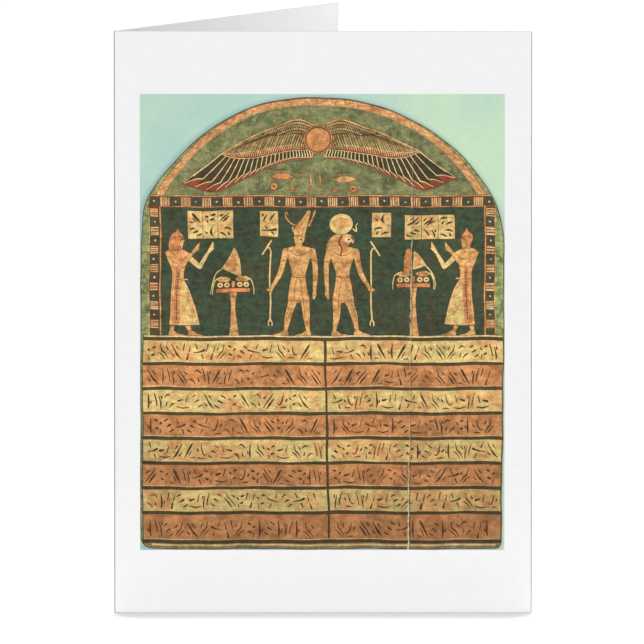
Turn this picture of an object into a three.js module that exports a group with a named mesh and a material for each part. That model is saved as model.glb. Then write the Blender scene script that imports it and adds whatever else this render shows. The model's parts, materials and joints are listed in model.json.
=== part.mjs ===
// Folded greeting card, standing part open on the bottom edges of its two leaves.
// Units are millimetres and +Z is up. The front leaf stands in the XZ plane with its printed face towards -Y,
// the back leaf opens away behind it, and the fold between them is upright at the card's -X side.
// The origin is at the middle of the box around the standing card, on the surface that it stands on.

import * as THREE from 'three';

// Driving dimensions, in millimetres, and the angle in degrees.
const leafWidth = 127;
const leafHeight = 177.8;
const boardThickness = 0.4;
const foldInsideRadius = 0.15;
const foldClearance = 0.3;
const openingAngle = 57.5;

// Steps of the curve around the fold.
const foldArcSteps = 28;

// Sizes that follow from them, measured from the fold's axis.
const foldOutsideRadius = foldInsideRadius + boardThickness;
const leafReach = leafWidth - foldOutsideRadius;
const backLeafStart = Math.sqrt((foldOutsideRadius + foldClearance) ** 2 - foldInsideRadius ** 2);

// White matt board: the front leaf is the side that is printed, and the back leaf is plain.
const printedBoard = new THREE.MeshStandardMaterial({ color: 0xeceae6, roughness: 0.55, metalness: 0 });
const plainBoard = new THREE.MeshStandardMaterial({ color: 0xe4e3e1, roughness: 0.7, metalness: 0 });

// Stands an outline, drawn as seen from above, up to the height of the leaves.
function standUp(outline) {
  return new THREE.ExtrudeGeometry(outline, {
    depth: leafHeight,
    bevelEnabled: false,
    curveSegments: foldArcSteps,
  });
}

// The front leaf and the rounded fold that it ends in, as one outline around the fold's axis.
// The fold is round to the board's outer face, so it looks the same at every opening.
function frontLeafOutline() {
  const foldMeetsInnerFace = -Math.asin(foldInsideRadius / foldOutsideRadius);
  const foldMeetsOuterFace = 1.5 * Math.PI;
  const outline = new THREE.Shape();
  outline.moveTo(leafReach, -foldOutsideRadius);
  outline.lineTo(leafReach, -foldInsideRadius);
  outline.absarc(0, 0, foldOutsideRadius, foldMeetsInnerFace, foldMeetsOuterFace, false);
  outline.closePath();
  return outline;
}

// The back leaf lies along +X here, before it is turned to its opening. It starts just clear of the fold,
// and its inner face keeps the fold's inside radius to the axis, so the shut leaves lie flat on each other.
function backLeafOutline() {
  const outline = new THREE.Shape();
  outline.moveTo(backLeafStart, foldInsideRadius);
  outline.lineTo(leafReach, foldInsideRadius);
  outline.lineTo(leafReach, foldOutsideRadius);
  outline.lineTo(backLeafStart, foldOutsideRadius);
  outline.closePath();
  return outline;
}

// Everything is placed in a group whose own origin is the foot of the fold's axis.
const card = new THREE.Group();

const frontLeaf = new THREE.Mesh(standUp(frontLeafOutline()), printedBoard);
frontLeaf.name = 'front_leaf';
card.add(frontLeaf);

const backLeaf = new THREE.Mesh(standUp(backLeafOutline()), plainBoard);
backLeaf.name = 'back_leaf';
backLeaf.rotation.z = THREE.MathUtils.degToRad(openingAngle);
card.add(backLeaf);

// The fold's axis moves away from the origin by half of the standing card's box.
card.updateMatrixWorld(true);
const standingBox = new THREE.Box3().setFromObject(card, true);
const boxMiddle = standingBox.getCenter(new THREE.Vector3());
card.position.set(-boxMiddle.x, -boxMiddle.y, 0);

const part = new THREE.Group();
part.add(card);

export default part;
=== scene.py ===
import json
import math

import bpy
import numpy as np
from bpy.props import FloatProperty, FloatVectorProperty, PointerProperty
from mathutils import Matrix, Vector
from mathutils.geometry import delaunay_2d_cdt


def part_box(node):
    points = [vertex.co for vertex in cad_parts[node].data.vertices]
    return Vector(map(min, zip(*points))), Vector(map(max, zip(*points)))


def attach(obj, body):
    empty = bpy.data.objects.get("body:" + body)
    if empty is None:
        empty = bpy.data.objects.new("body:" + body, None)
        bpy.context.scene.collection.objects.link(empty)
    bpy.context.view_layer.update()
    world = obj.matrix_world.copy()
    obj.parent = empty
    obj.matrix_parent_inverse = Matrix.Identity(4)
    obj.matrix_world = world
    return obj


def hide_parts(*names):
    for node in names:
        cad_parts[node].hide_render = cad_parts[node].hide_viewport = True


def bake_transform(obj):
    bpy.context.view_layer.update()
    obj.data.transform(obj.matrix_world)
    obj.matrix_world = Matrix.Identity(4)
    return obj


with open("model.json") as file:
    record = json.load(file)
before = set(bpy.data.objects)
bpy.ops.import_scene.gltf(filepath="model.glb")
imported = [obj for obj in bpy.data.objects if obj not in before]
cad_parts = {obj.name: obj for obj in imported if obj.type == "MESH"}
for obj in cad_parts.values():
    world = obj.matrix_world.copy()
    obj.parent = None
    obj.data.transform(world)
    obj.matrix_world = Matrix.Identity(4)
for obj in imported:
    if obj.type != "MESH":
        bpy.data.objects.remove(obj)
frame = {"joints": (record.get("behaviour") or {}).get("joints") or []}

bl_info = {
    "name": "Folded greeting card",
    "version": (1, 0, 0),
    "blender": (4, 5, 0),
    "location": "3D View > Sidebar > Card",
    "description": "A folded card of white board with an old painted tablet printed on its front",
    "category": "Add Mesh",
}

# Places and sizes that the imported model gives, in metres.
FOLD = frame["joints"][0]
FOLD_AXIS = np.array(FOLD["pos_m"][:2])
OPENING = math.radians(-FOLD["range_deg"][0])
LEAF_LOW, LEAF_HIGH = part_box("front_leaf")
LEAF_HEIGHT = LEAF_HIGH.z
LEAF_REACH = LEAF_HIGH.x - FOLD_AXIS[0]
FOLD_OUTSIDE_RADIUS = FOLD_AXIS[0] - LEAF_LOW.x
FRONT_FACE_Y = LEAF_LOW.y

MM = 0.001


def linear(red, green, blue):
    """A colour given in 8-bit screen values, as the linear values that shaders use."""
    screen = np.array((red, green, blue)) / 255
    low = screen / 12.92
    high = ((screen + 0.055) / 1.055) ** 2.4
    return tuple(float(value) for value in np.where(screen <= 0.04045, low, high))


def length(name, description, default):
    """A setting in metres."""
    return FloatProperty(name=name, description=description, default=default, unit="LENGTH", precision=5)


def strength(name, description, default):
    """A setting for how strong a light is."""
    return FloatProperty(name=name, description=description, default=default, min=0.0)


def colour(name, description, red, green, blue):
    """A setting for a colour, with its default in 8-bit screen values."""
    return FloatVectorProperty(
        name=name, description=description, default=linear(red, green, blue),
        size=3, min=0.0, max=1.0, subtype="COLOR",
    )


class CardSizes(bpy.types.PropertyGroup):
    """Sizes of the board and of the printed area."""

    board_thickness: length("Board thickness", "Thickness of the white board", 0.4 * MM)
    picture_width: length("Picture width", "Width of the printed area", 110.85 * MM)
    picture_height: length("Picture height", "Height of the printed area", 139.3 * MM)
    picture_left: length("Left margin", "White margin between the fold and the printed area", 7.87 * MM)
    picture_bottom: length("Bottom margin", "White margin under the printed area", 19.3 * MM)
    picture_depth: length("Ink depth", "How deep the printed layer lies in the board", 0.05 * MM)
    fold_softness: length("Fold softness", "Half the width of board that bends as the fold turns", 0.7 * MM)


class CardColours(bpy.types.PropertyGroup):
    """Colours of the board and of the printing inks."""

    board: colour("Board", "White face of the board", 243, 243, 243)
    cut_edge: colour("Cut edge", "Cut edge along the top and the bottom", 213, 212, 210)
    # Painted shade: the cut edge opposite the fold is coloured dark grey, for the shade on its narrow rounded
    # edge.
    fore_edge: colour("Fore edge", "Cut edge opposite the fold, where it is handled", 76, 75, 73)
    backdrop: colour("Backdrop", "Pale green behind the tablet", 201, 226, 196)
    backdrop_cool: colour("Cool backdrop", "Bluer side of the backdrop", 178, 211, 199)
    backdrop_shade: colour("Backdrop shade", "Soft shadow of the tablet on the backdrop", 138, 168, 172)
    rim_green: colour("Green rim", "Pale green edge of the tablet", 160, 166, 104)
    rim_wood: colour("Wood rim", "Bare foot of the tablet", 158, 128, 84)
    arch_green: colour("Arch green", "Mottled green under the arch", 136, 136, 88)
    arch_shade: colour("Arch shade", "Darker patches of that green", 82, 92, 56)
    field_green: colour("Field green", "Dark green behind the figures", 58, 75, 52)
    feather_green: colour("Feather green", "Dark feathers of the wings", 64, 60, 38)
    covert_green: colour("Covert green", "Short feathers of the wings", 144, 130, 78)
    gold: colour("Gold", "Skin and robes of the figures", 226, 174, 106)
    pale_gold: colour("Pale gold", "Staffs, loaves and light parts of the figures", 230, 204, 134)
    ochre: colour("Ochre", "Band round the arch, and some of the stripes", 226, 182, 124)
    orange: colour("Orange", "Small marks, and the tables with their goods", 222, 144, 82)
    red: colour("Red", "Feather tips, and the band of a wig", 156, 66, 43)
    red_line: colour("Red line", "Reddish outlines, and the ground of the stripes", 138, 76, 46)
    outline: colour("Outline", "Dark brown outlines of the figures", 84, 54, 32)
    cream_line: colour("Cream line", "Pale lines and stripes", 228, 206, 150)
    cream_band: colour("Cream band", "Pale rows of strokes, label panels and skirts", 223, 197, 124)
    orange_band: colour("Orange band", "Orange rows of strokes, the sun disc and the hair", 212, 146, 90)
    band_stain: colour("Band stain", "Brown stains in the rows", 164, 108, 62)
    rule_line: colour("Rule", "Dark rules between the rows", 82, 64, 36)
    stroke: colour("Stroke", "Dark strokes in the rows", 74, 52, 32)
    border_dark: colour("Border dark", "Dark squares of the border", 73, 74, 50)
    pale_spot: colour("Pale spot", "Spots in the dark squares", 196, 194, 166)


class StageSettings(bpy.types.PropertyGroup):
    """Camera and lights."""

    floor: colour("Floor", "Plain pale floor", 250, 250, 250)
    camera_distance: length("Camera distance", "From the camera to the front leaf", 5.0)
    view_width: length("View width", "Width of the view at the front leaf", 195.75 * MM)
    camera_height: FloatProperty(
        name="Camera elevation", description="Angle of the view above the horizon",
        default=math.radians(5.75), subtype="ANGLE",
    )
    sky: strength("Sky", "Strength of the light from all round", 0.25)
    front_light: strength("Front light", "Strength of the soft front light", 1.13)
    top_light: strength("Top light", "Strength of the soft top light", 2.33)
    side_light: strength("Side light", "Power of the soft light beside the open leaves", 0.017)
    foot_light: strength("Foot light", "Power of the low strip in front of the card's foot", 0.0034)
    contact_light: strength("Contact light", "Power of the thin strip close to the card's foot", 0.00034)
    floor_light: strength("Floor light", "Power of the strip over the floor in front of the card", 0.0014)


# Outlines, in millimetres. An outline is an array of points, and the last one joins the first.


def curve(points, steps=5):
    """A smooth open line of cubic spans. The slope at each point is that between its two neighbours."""
    points = np.asarray(points, float)
    before = np.vstack([2 * points[0] - points[1], points[:-2], points[-2]])[: len(points) - 1]
    after = np.vstack([points[2:], 2 * points[-1] - points[-2]])
    start, end = points[:-1], points[1:]
    t = np.linspace(0, 1, steps, endpoint=False)[None, :, None]
    slope_start = ((end - before) / 2)[:, None]
    slope_end = ((after - start) / 2)[:, None]
    start, end = start[:, None], end[:, None]
    spans = (
        (2 * t**3 - 3 * t**2 + 1) * start + (t**3 - 2 * t**2 + t) * slope_start
        + (3 * t**2 - 2 * t**3) * end + (t**3 - t**2) * slope_end
    )
    return np.vstack([spans.reshape(-1, 2), points[-1]])


def joined(*runs):
    """One outline from smooth runs, with a corner wherever one run ends and the next begins."""
    return np.vstack([curve(run) if len(run) > 2 else np.asarray(run, float) for run in runs])


def box(left, bottom, right, top):
    """An upright rectangle's four corners."""
    return np.array([(left, bottom), (right, bottom), (right, top), (left, top)], float)


def oval(x, y, across, up=None, corners=20):
    """Points at equal angles on an ellipse of half sizes across and up."""
    angle = np.linspace(0, 2 * np.pi, corners, endpoint=False)
    return np.stack([x + across * np.cos(angle), y + (up or across) * np.sin(angle)], 1)


def limb(points, widths, steps=5, cap=4):
    """A ribbon with round ends: its sides lie half the width away from a smooth line, along its normal.
    It has one width, or several that are spread evenly along it."""
    widths = np.atleast_1d(widths)
    line = curve(points, steps) if len(points) > 2 else np.asarray(points, float)
    place = np.linspace(0, 1, len(line))
    half = np.interp(place, np.linspace(0, 1, len(widths)), widths) / 2
    way = np.gradient(line, axis=0)
    way /= np.linalg.norm(way, axis=1, keepdims=True) + 1e-12
    normal = np.stack([-way[:, 1], way[:, 0]], 1)
    turn = np.linspace(0, np.pi, cap + 2)[1:-1, None]
    end_cap = line[-1] + half[-1] * (np.cos(turn) * -normal[-1] + np.sin(turn) * way[-1])
    start_cap = line[0] + half[0] * (np.cos(turn) * normal[0] - np.sin(turn) * way[0])
    right = line - normal * half[:, None]
    left = line + normal * half[:, None]
    return np.vstack([right, end_cap, left[::-1], start_cap])


def area(outline):
    """The area inside an outline, below zero where it runs clockwise."""
    x, y = outline.T
    return 0.5 * float(np.sum(x * np.roll(y, -1) - y * np.roll(x, -1)))


def counterclockwise(outline):
    return outline if area(outline) > 0 else outline[::-1]


def filled_in(outline, step=1.2):
    """The same outline with its long straight sides cut into lengths of at most a step."""
    ends = np.roll(outline, -1, axis=0)
    gaps = np.linalg.norm(ends - outline, axis=1)
    counts = np.maximum(1, np.ceil(gaps / step)).astype(int)
    first = np.repeat(outline, counts, axis=0)
    last = np.repeat(ends, counts, axis=0)
    nth = np.arange(counts.sum()) - np.repeat(np.cumsum(counts) - counts, counts)
    return first + (last - first) * (nth / np.repeat(counts, counts))[:, None]


def grown(outline, margin):
    """The outline moved outwards: each corner goes along the mean of its two sides' normals."""
    outline = filled_in(counterclockwise(outline), 0.8)
    side = np.roll(outline, -1, axis=0) - outline
    side /= np.linalg.norm(side, axis=1, keepdims=True) + 1e-12
    normal = np.stack([side[:, 1], -side[:, 0]], 1)
    normal = normal + np.roll(normal, 1, axis=0)
    normal /= np.linalg.norm(normal, axis=1, keepdims=True) + 1e-12
    return outline + margin * normal


def by_hand(points):
    """Bends the whole drawing as one, as a painter's unsure hand does: sums of slow waves across and up."""
    x, y = points.T
    across = 0.11 * np.sin(y / 4.7 + 0.8 * np.sin(x / 13.0)) + 0.06 * np.sin(y / 1.9 + x / 7.3)
    up = 0.12 * np.sin(x / 5.3 + 1.1 + 0.7 * np.sin(y / 11.0)) + 0.07 * np.sin(x / 2.1 - y / 6.1)
    return points + np.stack([across, up], 1)


class Drawing:
    """Outlines in the order in which they are painted, each with the name of its ink."""

    def __init__(self):
        self.outlines = []
        self.inks = []

    def paint(self, ink, *outlines):
        for outline in outlines:
            self.outlines.append(np.asarray(outline, float))
            self.inks.append(ink)

    def rimmed(self, ink, rim_ink, rim, *outlines):
        """Paints the outlines with one rim of another ink round them all."""
        self.paint(rim_ink, *[grown(outline, rim) for outline in outlines])
        self.paint(ink, *outlines)


# The printed picture. It is drawn at this size, and then fitted to the printed area that the card's sizes
# give. Places are millimetres from its lower left corner.

PICTURE_WIDTH = 111.1
PICTURE_HEIGHT = 138.7

TABLET_LEFT = 0.45
TABLET_RIGHT = 110.85
TABLET_FOOT = 0.35
NARROWING_STARTS = 60.0
FOOT_NARROWING = 0.75
FOOT_LEAN = 0.35
LEFT_CORNER = 3.6
RIGHT_CORNER = 2.2
CORNER_POINTS = 7
ARCH_MIDDLE = 53.1
ARCH_SPRING = 87.9
ARCH_RISE = 49.8
ARCH_FULLNESS = 2.04
LEFT_SHOULDER = 0.95
RIGHT_SHOULDER = 0.5
BAND_INSET = 0.4
BAND_WIDTH = 1.95
LEFT_BAND_SPREAD = 1.6
RIGHT_BAND_SPREAD = 1.7
ARCH_MARKS = 29
SHADE_RINGS = (0.4, 0.8, 1.3, 1.9, 2.6)
SHADE_REACH = 1.9
SHADE_SHIFT = (-0.4, -0.3)
CRACK_FROM_LEFT = 80.6
CRACK_LEAN = 1.6
CRACK_WANDER = 1.8
CRACK_WIDTH = 0.14
CRACK_WIDENS = 0.16
CRACK_GAP = 0.36

BORDER_TOP = 107.7
FIELD_TOP = 104.65
FIELD_BOTTOM = 65.2
FIELD_LEFT = 6.6
FIELD_RIGHT = 104.9
COLUMN_LEFTS = (3.15, 105.5)
COLUMN_WIDTH = 2.45
BORDER_START = 2.8
BORDER_END = 108.4
TOP_GROUPS = 16
TOP_FIRST = 6.25
TOP_PITCH = 6.36
TOP_SQUARE = 3.4
COLUMN_GROUPS = 7
COLUMN_PITCH = 5.66
COLUMN_SQUARE = 3.0

ROWS = 8
ROWS_TOP = 63.75
ROW_PITCH = 7.56
LAST_ROW_EXTRA = 1.2
RULE_WIDTH = 1.05
ROWS_LEFT = 1.1
ROWS_RIGHT = 110.5
DIVIDER_TOP = 56.4
DIVIDER_FOOT = 57.6
RULE_BENDS = (30, 60, 85)
MARK_CLEARANCE = 0.85


def arch(inset, steps=40):
    """From right to left over the arch: |x/half|^n + |y/rise|^n = 1, where n grows towards each shoulder."""
    angle = np.linspace(0, np.pi, 2 * steps + 1)
    cosine, sine = np.cos(angle), np.sin(angle)
    on_right = cosine >= 0
    half = np.where(on_right, TABLET_RIGHT - ARCH_MIDDLE - inset, ARCH_MIDDLE - TABLET_LEFT - inset)
    fullness = ARCH_FULLNESS + np.where(on_right, RIGHT_SHOULDER, LEFT_SHOULDER) * np.abs(cosine) ** 16
    x = np.sign(cosine) * half * np.abs(cosine) ** (2 / fullness)
    y = (ARCH_RISE - inset) * np.abs(sine) ** (2 / fullness)
    return np.stack([ARCH_MIDDLE + x, ARCH_SPRING + y], 1)


def band_edge(inset, steps=40):
    """An edge of the band under the arch. Towards its feet it draws in from the tablet's edge, by cos^4."""
    cosine = np.cos(np.linspace(0, np.pi, 2 * steps + 1))
    return arch(inset + np.where(cosine >= 0, RIGHT_BAND_SPREAD, LEFT_BAND_SPREAD) * cosine**4, steps)


def tablet_outline(inset=0.0):
    """The tablet's edge: the arch, straight sides and two rounded corners. Both sides lean left low down."""
    left, right = TABLET_LEFT + inset, TABLET_RIGHT - inset
    turn = np.linspace(0, np.pi / 2, CORNER_POINTS)
    foot = TABLET_FOOT + inset
    round_left = LEFT_CORNER * np.stack([1 - np.cos(turn), 1 - np.sin(turn)], 1)
    round_right = RIGHT_CORNER * np.stack([np.sin(turn) - 1, 1 - np.cos(turn)], 1)
    return np.vstack([
        arch(inset), round_left + (left - FOOT_LEAN, foot), round_right + (right - FOOT_NARROWING, foot),
        (right, NARROWING_STARTS),
    ])


def within_arch(left, low, right, high):
    """A box whose ends are cut off along the tablet's edge."""
    edge = arch(0.3)
    middle = len(edge) // 2
    right_half, left_half = edge[:middle + 1], edge[:middle - 1:-1]
    levels = (low, high)
    low_right, high_right = np.minimum(right, np.interp(levels, right_half[:, 1], right_half[:, 0]))
    low_left, high_left = np.maximum(left, np.interp(levels, left_half[:, 1], left_half[:, 0]))
    return np.array([(low_left, low), (low_right, low), (high_right, high), (high_left, high)])


def above(outline, level):
    """The part of an outline over a level, cut off straight."""
    high = outline[outline[:, 1] > level]
    left, right = high[:, 0].min(), high[:, 0].max()
    return np.vstack([high, (left, level), (right, level)])


def along(line, shares):
    """Points at shares of a line's length."""
    steps = np.linalg.norm(np.diff(line, axis=0), axis=1)
    place = np.concatenate([[0], np.cumsum(steps)]) / steps.sum()
    shares = np.clip(shares, 0, 1)
    return np.stack([np.interp(shares, place, line[:, 0]), np.interp(shares, place, line[:, 1])], 1)


def draw_ground(drawing, rng):
    """Backdrop, tablet, and the green arch inside its ochre band, which has crossed strokes all along it."""
    drawing.paint("backdrop", box(0, 0, PICTURE_WIDTH, PICTURE_HEIGHT))
    for distance in SHADE_RINGS[::-1]:
        drawing.paint("backdrop", grown(tablet_outline(), distance))
    drawing.paint("outline", grown(tablet_outline(), 0.1))
    drawing.paint("rim_green", tablet_outline(0.15))
    outer = band_edge(BAND_INSET)
    inner = band_edge(BAND_INSET + BAND_WIDTH)
    drawing.paint("red_line", above(grown(outer, 0.2), BORDER_TOP))
    drawing.paint("ochre", above(outer, BORDER_TOP))
    near, far = band_edge(BAND_INSET + 0.35), band_edge(BAND_INSET + BAND_WIDTH - 0.35)
    near, far = near[near[:, 1] > BORDER_TOP], far[far[:, 1] > BORDER_TOP]
    pitch = 1 / ARCH_MARKS
    for share in (np.arange(ARCH_MARKS) + 0.5) * pitch:
        reach = pitch * rng.uniform(0.2, 0.46)
        thin, thick = rng.uniform(0.2, 0.35), rng.uniform(0.45, 0.85)
        ends = np.array([share - reach, share + reach])
        (near_start, near_end), (far_start, far_end) = along(near, ends), along(far, ends)
        drawing.paint("arch_mark", limb([near_start, far_end], [thick, thin, thin]),
                      limb([far_start, near_end], [thin, thin, thick]))
    drawing.paint("red_line", above(grown(inner, 0.16), BORDER_TOP))
    drawing.paint("cream_line", above(inner, BORDER_TOP))
    drawing.paint("outline", above(grown(inner, -0.14), BORDER_TOP))
    drawing.paint("arch_green", above(grown(inner, -0.3), BORDER_TOP))


# Guide lines of a spread wing, from the sun disc outwards: its front edge, the foot of its short feathers and
# the tips of its long ones. Points with the same number belong together.
WING_FRONT = [(53.2, 129.3), (47.8, 130.8), (41.0, 128.4), (35.0, 126.0), (29.8, 123.4), (25.0, 120.8)]
WING_COVERTS = [(51.4, 122.0), (46.2, 121.6), (40.3, 120.5), (34.4, 119.4), (29.2, 119.4), (25.0, 120.8)]
WING_TIPS = [(52.3, 119.3), (46.6, 118.8), (40.0, 116.7), (32.6, 113.4), (23.4, 109.4), (13.3, 111.4)]
DISC = (54.26, 125.0)
DISC_RADIUS = 3.95
WING_REACH = 41.0
RIGHT_WING_OUT = 2.6
RIGHT_TIP_IN = 1.6
RIGHT_TIP_UP = 1.7
LONG_FEATHERS = 23
SHORT_FEATHERS = 36
SCALE_ROWS = 4
SCALES_END = 0.56


class Wing:
    """Places on a wing: how far out from the disc, 0 to 1, and how far from one guide line to another.
    The right wing is the left one mirrored, drawn out a little, and with its tip drawn in and up."""

    def __init__(self, side):
        self.lines = []
        for line in (WING_FRONT, WING_COVERTS, WING_TIPS):
            points = np.array(line, float)
            if side > 0:
                reach = np.abs(points[:, 0] - DISC[0]) / WING_REACH
                points[:, 0] = 2 * DISC[0] - points[:, 0] + RIGHT_WING_OUT * reach - RIGHT_TIP_IN * reach**4
                points[:, 1] += RIGHT_TIP_UP * reach**4
            self.lines.append(curve(points, 12))

    def at(self, line, out):
        points = self.lines[line]
        place = np.clip(out, 0, 1) * (len(points) - 1)
        knots = np.arange(len(points))
        return np.stack([np.interp(place, knots, points[:, 0]), np.interp(place, knots, points[:, 1])], -1)

    def between(self, first, second, out, down):
        start, end = self.at(first, out), self.at(second, out)
        return start + (end - start) * np.asarray(down)[..., None]


FRONT, COVERTS, TIPS = range(3)


def draw_long_feathers(drawing, wing):
    """Dark feathers with pale quills and red tips, wider towards the wing's end."""
    spread = np.linspace(0, 1, LONG_FEATHERS + 1)
    spread = 0.7 * spread + 0.3 * spread**3
    tip_size = 0.18 + 0.09 * spread
    for near, far, tip in zip(spread[:-1], spread[1:], tip_size):
        shoulder = wing.between(COVERTS, TIPS, near, 1 - tip)
        middle = wing.between(COVERTS, TIPS, (near + far) / 2, 1 - tip * 0.75)
        edge = wing.at(TIPS, np.linspace(near, far, 4))
        drawing.paint("red", np.vstack([shoulder, middle, edge[::-1]]))
        drawing.paint("cream_line", limb([shoulder, middle, edge[-1]], [0.26, 0.26, 0.18]))
    quill_tips = np.append(tip_size[:-1], tip_size[-2])
    for out, tip in zip(spread, quill_tips):
        quill = wing.between(COVERTS, TIPS, out, np.array([0.0, 1 - tip]))
        drawing.paint("cream_line", limb(quill, [0.24, 0.32]))


def draw_short_feathers(drawing, wing):
    """Leaning hairs in turn pale and dark, over a row of red scallops with pale edges."""
    for k, out in enumerate(np.linspace(0.02, 0.97, 2 * SHORT_FEATHERS)):
        ink = ("cream_line", "outline", "gold", "outline")[k % 4]
        foot = wing.between(FRONT, COVERTS, out + 0.02 + 0.15 * out * (1 - out), 0.88)
        drawing.paint(ink, limb([wing.between(FRONT, COVERTS, out, 0.16 + 0.1 * (k % 3)), foot], [0.1, 0.18]))
    for k in range(SHORT_FEATHERS):
        near, far = 0.2 + 0.8 * k / SHORT_FEATHERS, 0.2 + 0.8 * (k + 1) / SHORT_FEATHERS
        rise = 0.14 + 0.24 * near
        scallop = [wing.at(COVERTS, near), wing.between(COVERTS, FRONT, near, rise),
                   wing.between(COVERTS, FRONT, (near + far) / 2, rise * 0.9), wing.at(COVERTS, far)]
        drawing.paint("red", np.array(scallop))
        drawing.paint("cream_line", limb(scallop[1:], [0.16, 0.18, 0.12]))


def draw_scales(drawing, wing):
    """A dark patch near the disc with rows of small pale arcs, and a dark streak beyond it."""
    scaled = np.linspace(0, SCALES_END, 18)
    foot = 0.46 * (1 - (scaled / SCALES_END) ** 3) + 0.03
    patch = [wing.at(FRONT, scaled), wing.between(FRONT, COVERTS, scaled, foot)[::-1]]
    drawing.paint("border_dark", np.vstack(patch))
    for row in range(SCALE_ROWS):
        down = 0.06 + 0.1 * row
        for out in np.arange(0.02 + 0.011 * (row % 2), 0.5 - 0.07 * row, 0.022):
            steps = ((0.0, down), (0.009, down + 0.07), (0.018, down))
            scale = [wing.between(FRONT, COVERTS, out + step, level) for step, level in steps]
            drawing.paint("gold" if row % 2 else "pale_gold", limb(scale, [0.1, 0.2, 0.1], steps=2, cap=1))
    streak = wing.between(FRONT, COVERTS, np.linspace(0.34, 0.86, 16), np.linspace(0.22, 0.2, 16))
    drawing.paint("outline", limb(streak, [0.1, 0.5, 0.4, 0.1]))
    drawing.paint("red_line", limb(streak - (0.2, 0.5), [0.1, 0.3, 0.3, 0.1]))


def draw_wing(drawing, side):
    """One wing: long feathers, short feathers above them, scales near the disc and lines along its edges."""
    wing = Wing(side)
    whole = np.linspace(0, 1, 61)
    front, coverts, tips = (wing.at(line, whole) for line in (FRONT, COVERTS, TIPS))
    body = np.vstack([front, tips[::-1]])
    for ink, rim in (("outline", 0.36), ("cream_line", 0.24), ("red_line", 0.06)):
        drawing.paint(ink, grown(body, rim))
    drawing.paint("feather", np.vstack([coverts, tips[::-1] + (0, 0.1)]))
    draw_long_feathers(drawing, wing)
    drawing.paint("red_line", limb(tips, [0.4, 0.46]))
    drawing.paint("covert", np.vstack([front, coverts[::-1]]))
    draw_short_feathers(drawing, wing)
    drawing.paint("red_line", limb(coverts, [0.4, 0.34]))
    drawing.paint("cream_line", limb(coverts - (0, 0.2), [0.16, 0.2]))
    draw_scales(drawing, wing)
    drawing.paint("gold", limb(front, [0.42, 0.4, 0.3, 0.22]))
    for shift in (0.25, 0.85, 1.45):
        x = DISC[0] + side * (DISC_RADIUS + shift)
        line = [(x, 127.4 - shift), (x + side * 0.15, 124.5), (x - side * 0.1, 121.6)]
        drawing.paint("red_line", limb(line, [0.2, 0.3, 0.24]))


def draw_disc(drawing):
    """The sun disc: rings of red and gold round an orange face."""
    x, y = DISC
    for ink, margin in (("outline", 0.42), ("gold", 0.3), ("red_line", 0.12), ("disc", -0.36)):
        drawing.paint(ink, oval(x, y, DISC_RADIUS + margin, corners=40))


# The small marks: each almond's side of the disc and its middle, and each leaf's place and height.
ALMONDS = ((-1, 43.5, 113.5), (1, 62.5, 112.8))
LEAVES = ((52.0, 5.6), (54.8, 6.4))
LEAF_FOOT = 109.4


def draw_small_marks(drawing):
    """Almonds, bars, dots and slender leaves in the space under the wings."""
    for side, x, y in ALMONDS:
        almond = joined([(x - 3.6, y), (x - 1.2, y + 0.85), (x + 1.2, y + 0.9), (x + 3.6, y + 0.1)],
                        [(x + 3.6, y + 0.1), (x + 1.2, y - 0.75), (x - 1.2, y - 0.8), (x - 3.6, y)])
        drawing.rimmed("orange" if side < 0 else "gold", "red_line", 0.16, almond)
        bar = [(x - 2.6, y + 1.9), (x - 0.6, y + 2.05), (x + 1.6, y + 2.2)]
        drawing.paint("red_line", limb(bar, [0.25, 0.5, 0.3]))
        dot = (x + side * 2.6, y - 3.0)
        drawing.rimmed("orange", "red_line", 0.2, oval(*dot, 1.0, corners=18))
        drawing.paint("red_line", oval(*dot, 0.42, corners=10))
        drawing.paint("red_line", oval(x - side * 3.1, y - 3.4, 1.2, 0.5, 14))
        drawing.paint("orange", oval(x - side * 3.1, y - 3.4, 0.8, 0.26, 12))
    for x, tall in LEAVES:
        leaf = [(x, LEAF_FOOT), (x + 0.25, LEAF_FOOT + tall / 2), (x, LEAF_FOOT + tall)]
        drawing.paint("red_line", limb(leaf, [0.3, 0.95, 0.3]))
        drawing.paint("gold", limb(leaf, [0.1, 0.5, 0.1]))
    drawing.paint("red_line", limb([(48.6, 114.9), (50.3, 114.6)], [0.9, 0.3]))


def stripes(drawing, rng, left, low, right, high, upright):
    """Pale and ochre stripes on a red ground, that run up the box or across it."""
    drawing.paint("border_red", box(left, low, right, high))
    count = (4 if upright else 3) + int(rng.integers(0, 2))
    breadth = (right - left if upright else high - low) / count
    for n in range(count):
        ink = "stripe" if rng.random() < 0.6 else "ochre"
        thick = breadth * rng.uniform(0.3, 0.52)
        middle = (n + 0.5) * breadth
        if upright:
            ends = [(left + middle, low + 0.1), (left + middle + rng.uniform(-0.12, 0.12), high - 0.1)]
        else:
            ends = [(left + 0.1, low + middle), (right - 0.1, low + middle + rng.uniform(-0.14, 0.14))]
        drawing.paint(ink, limb(ends, thick, cap=1))


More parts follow.
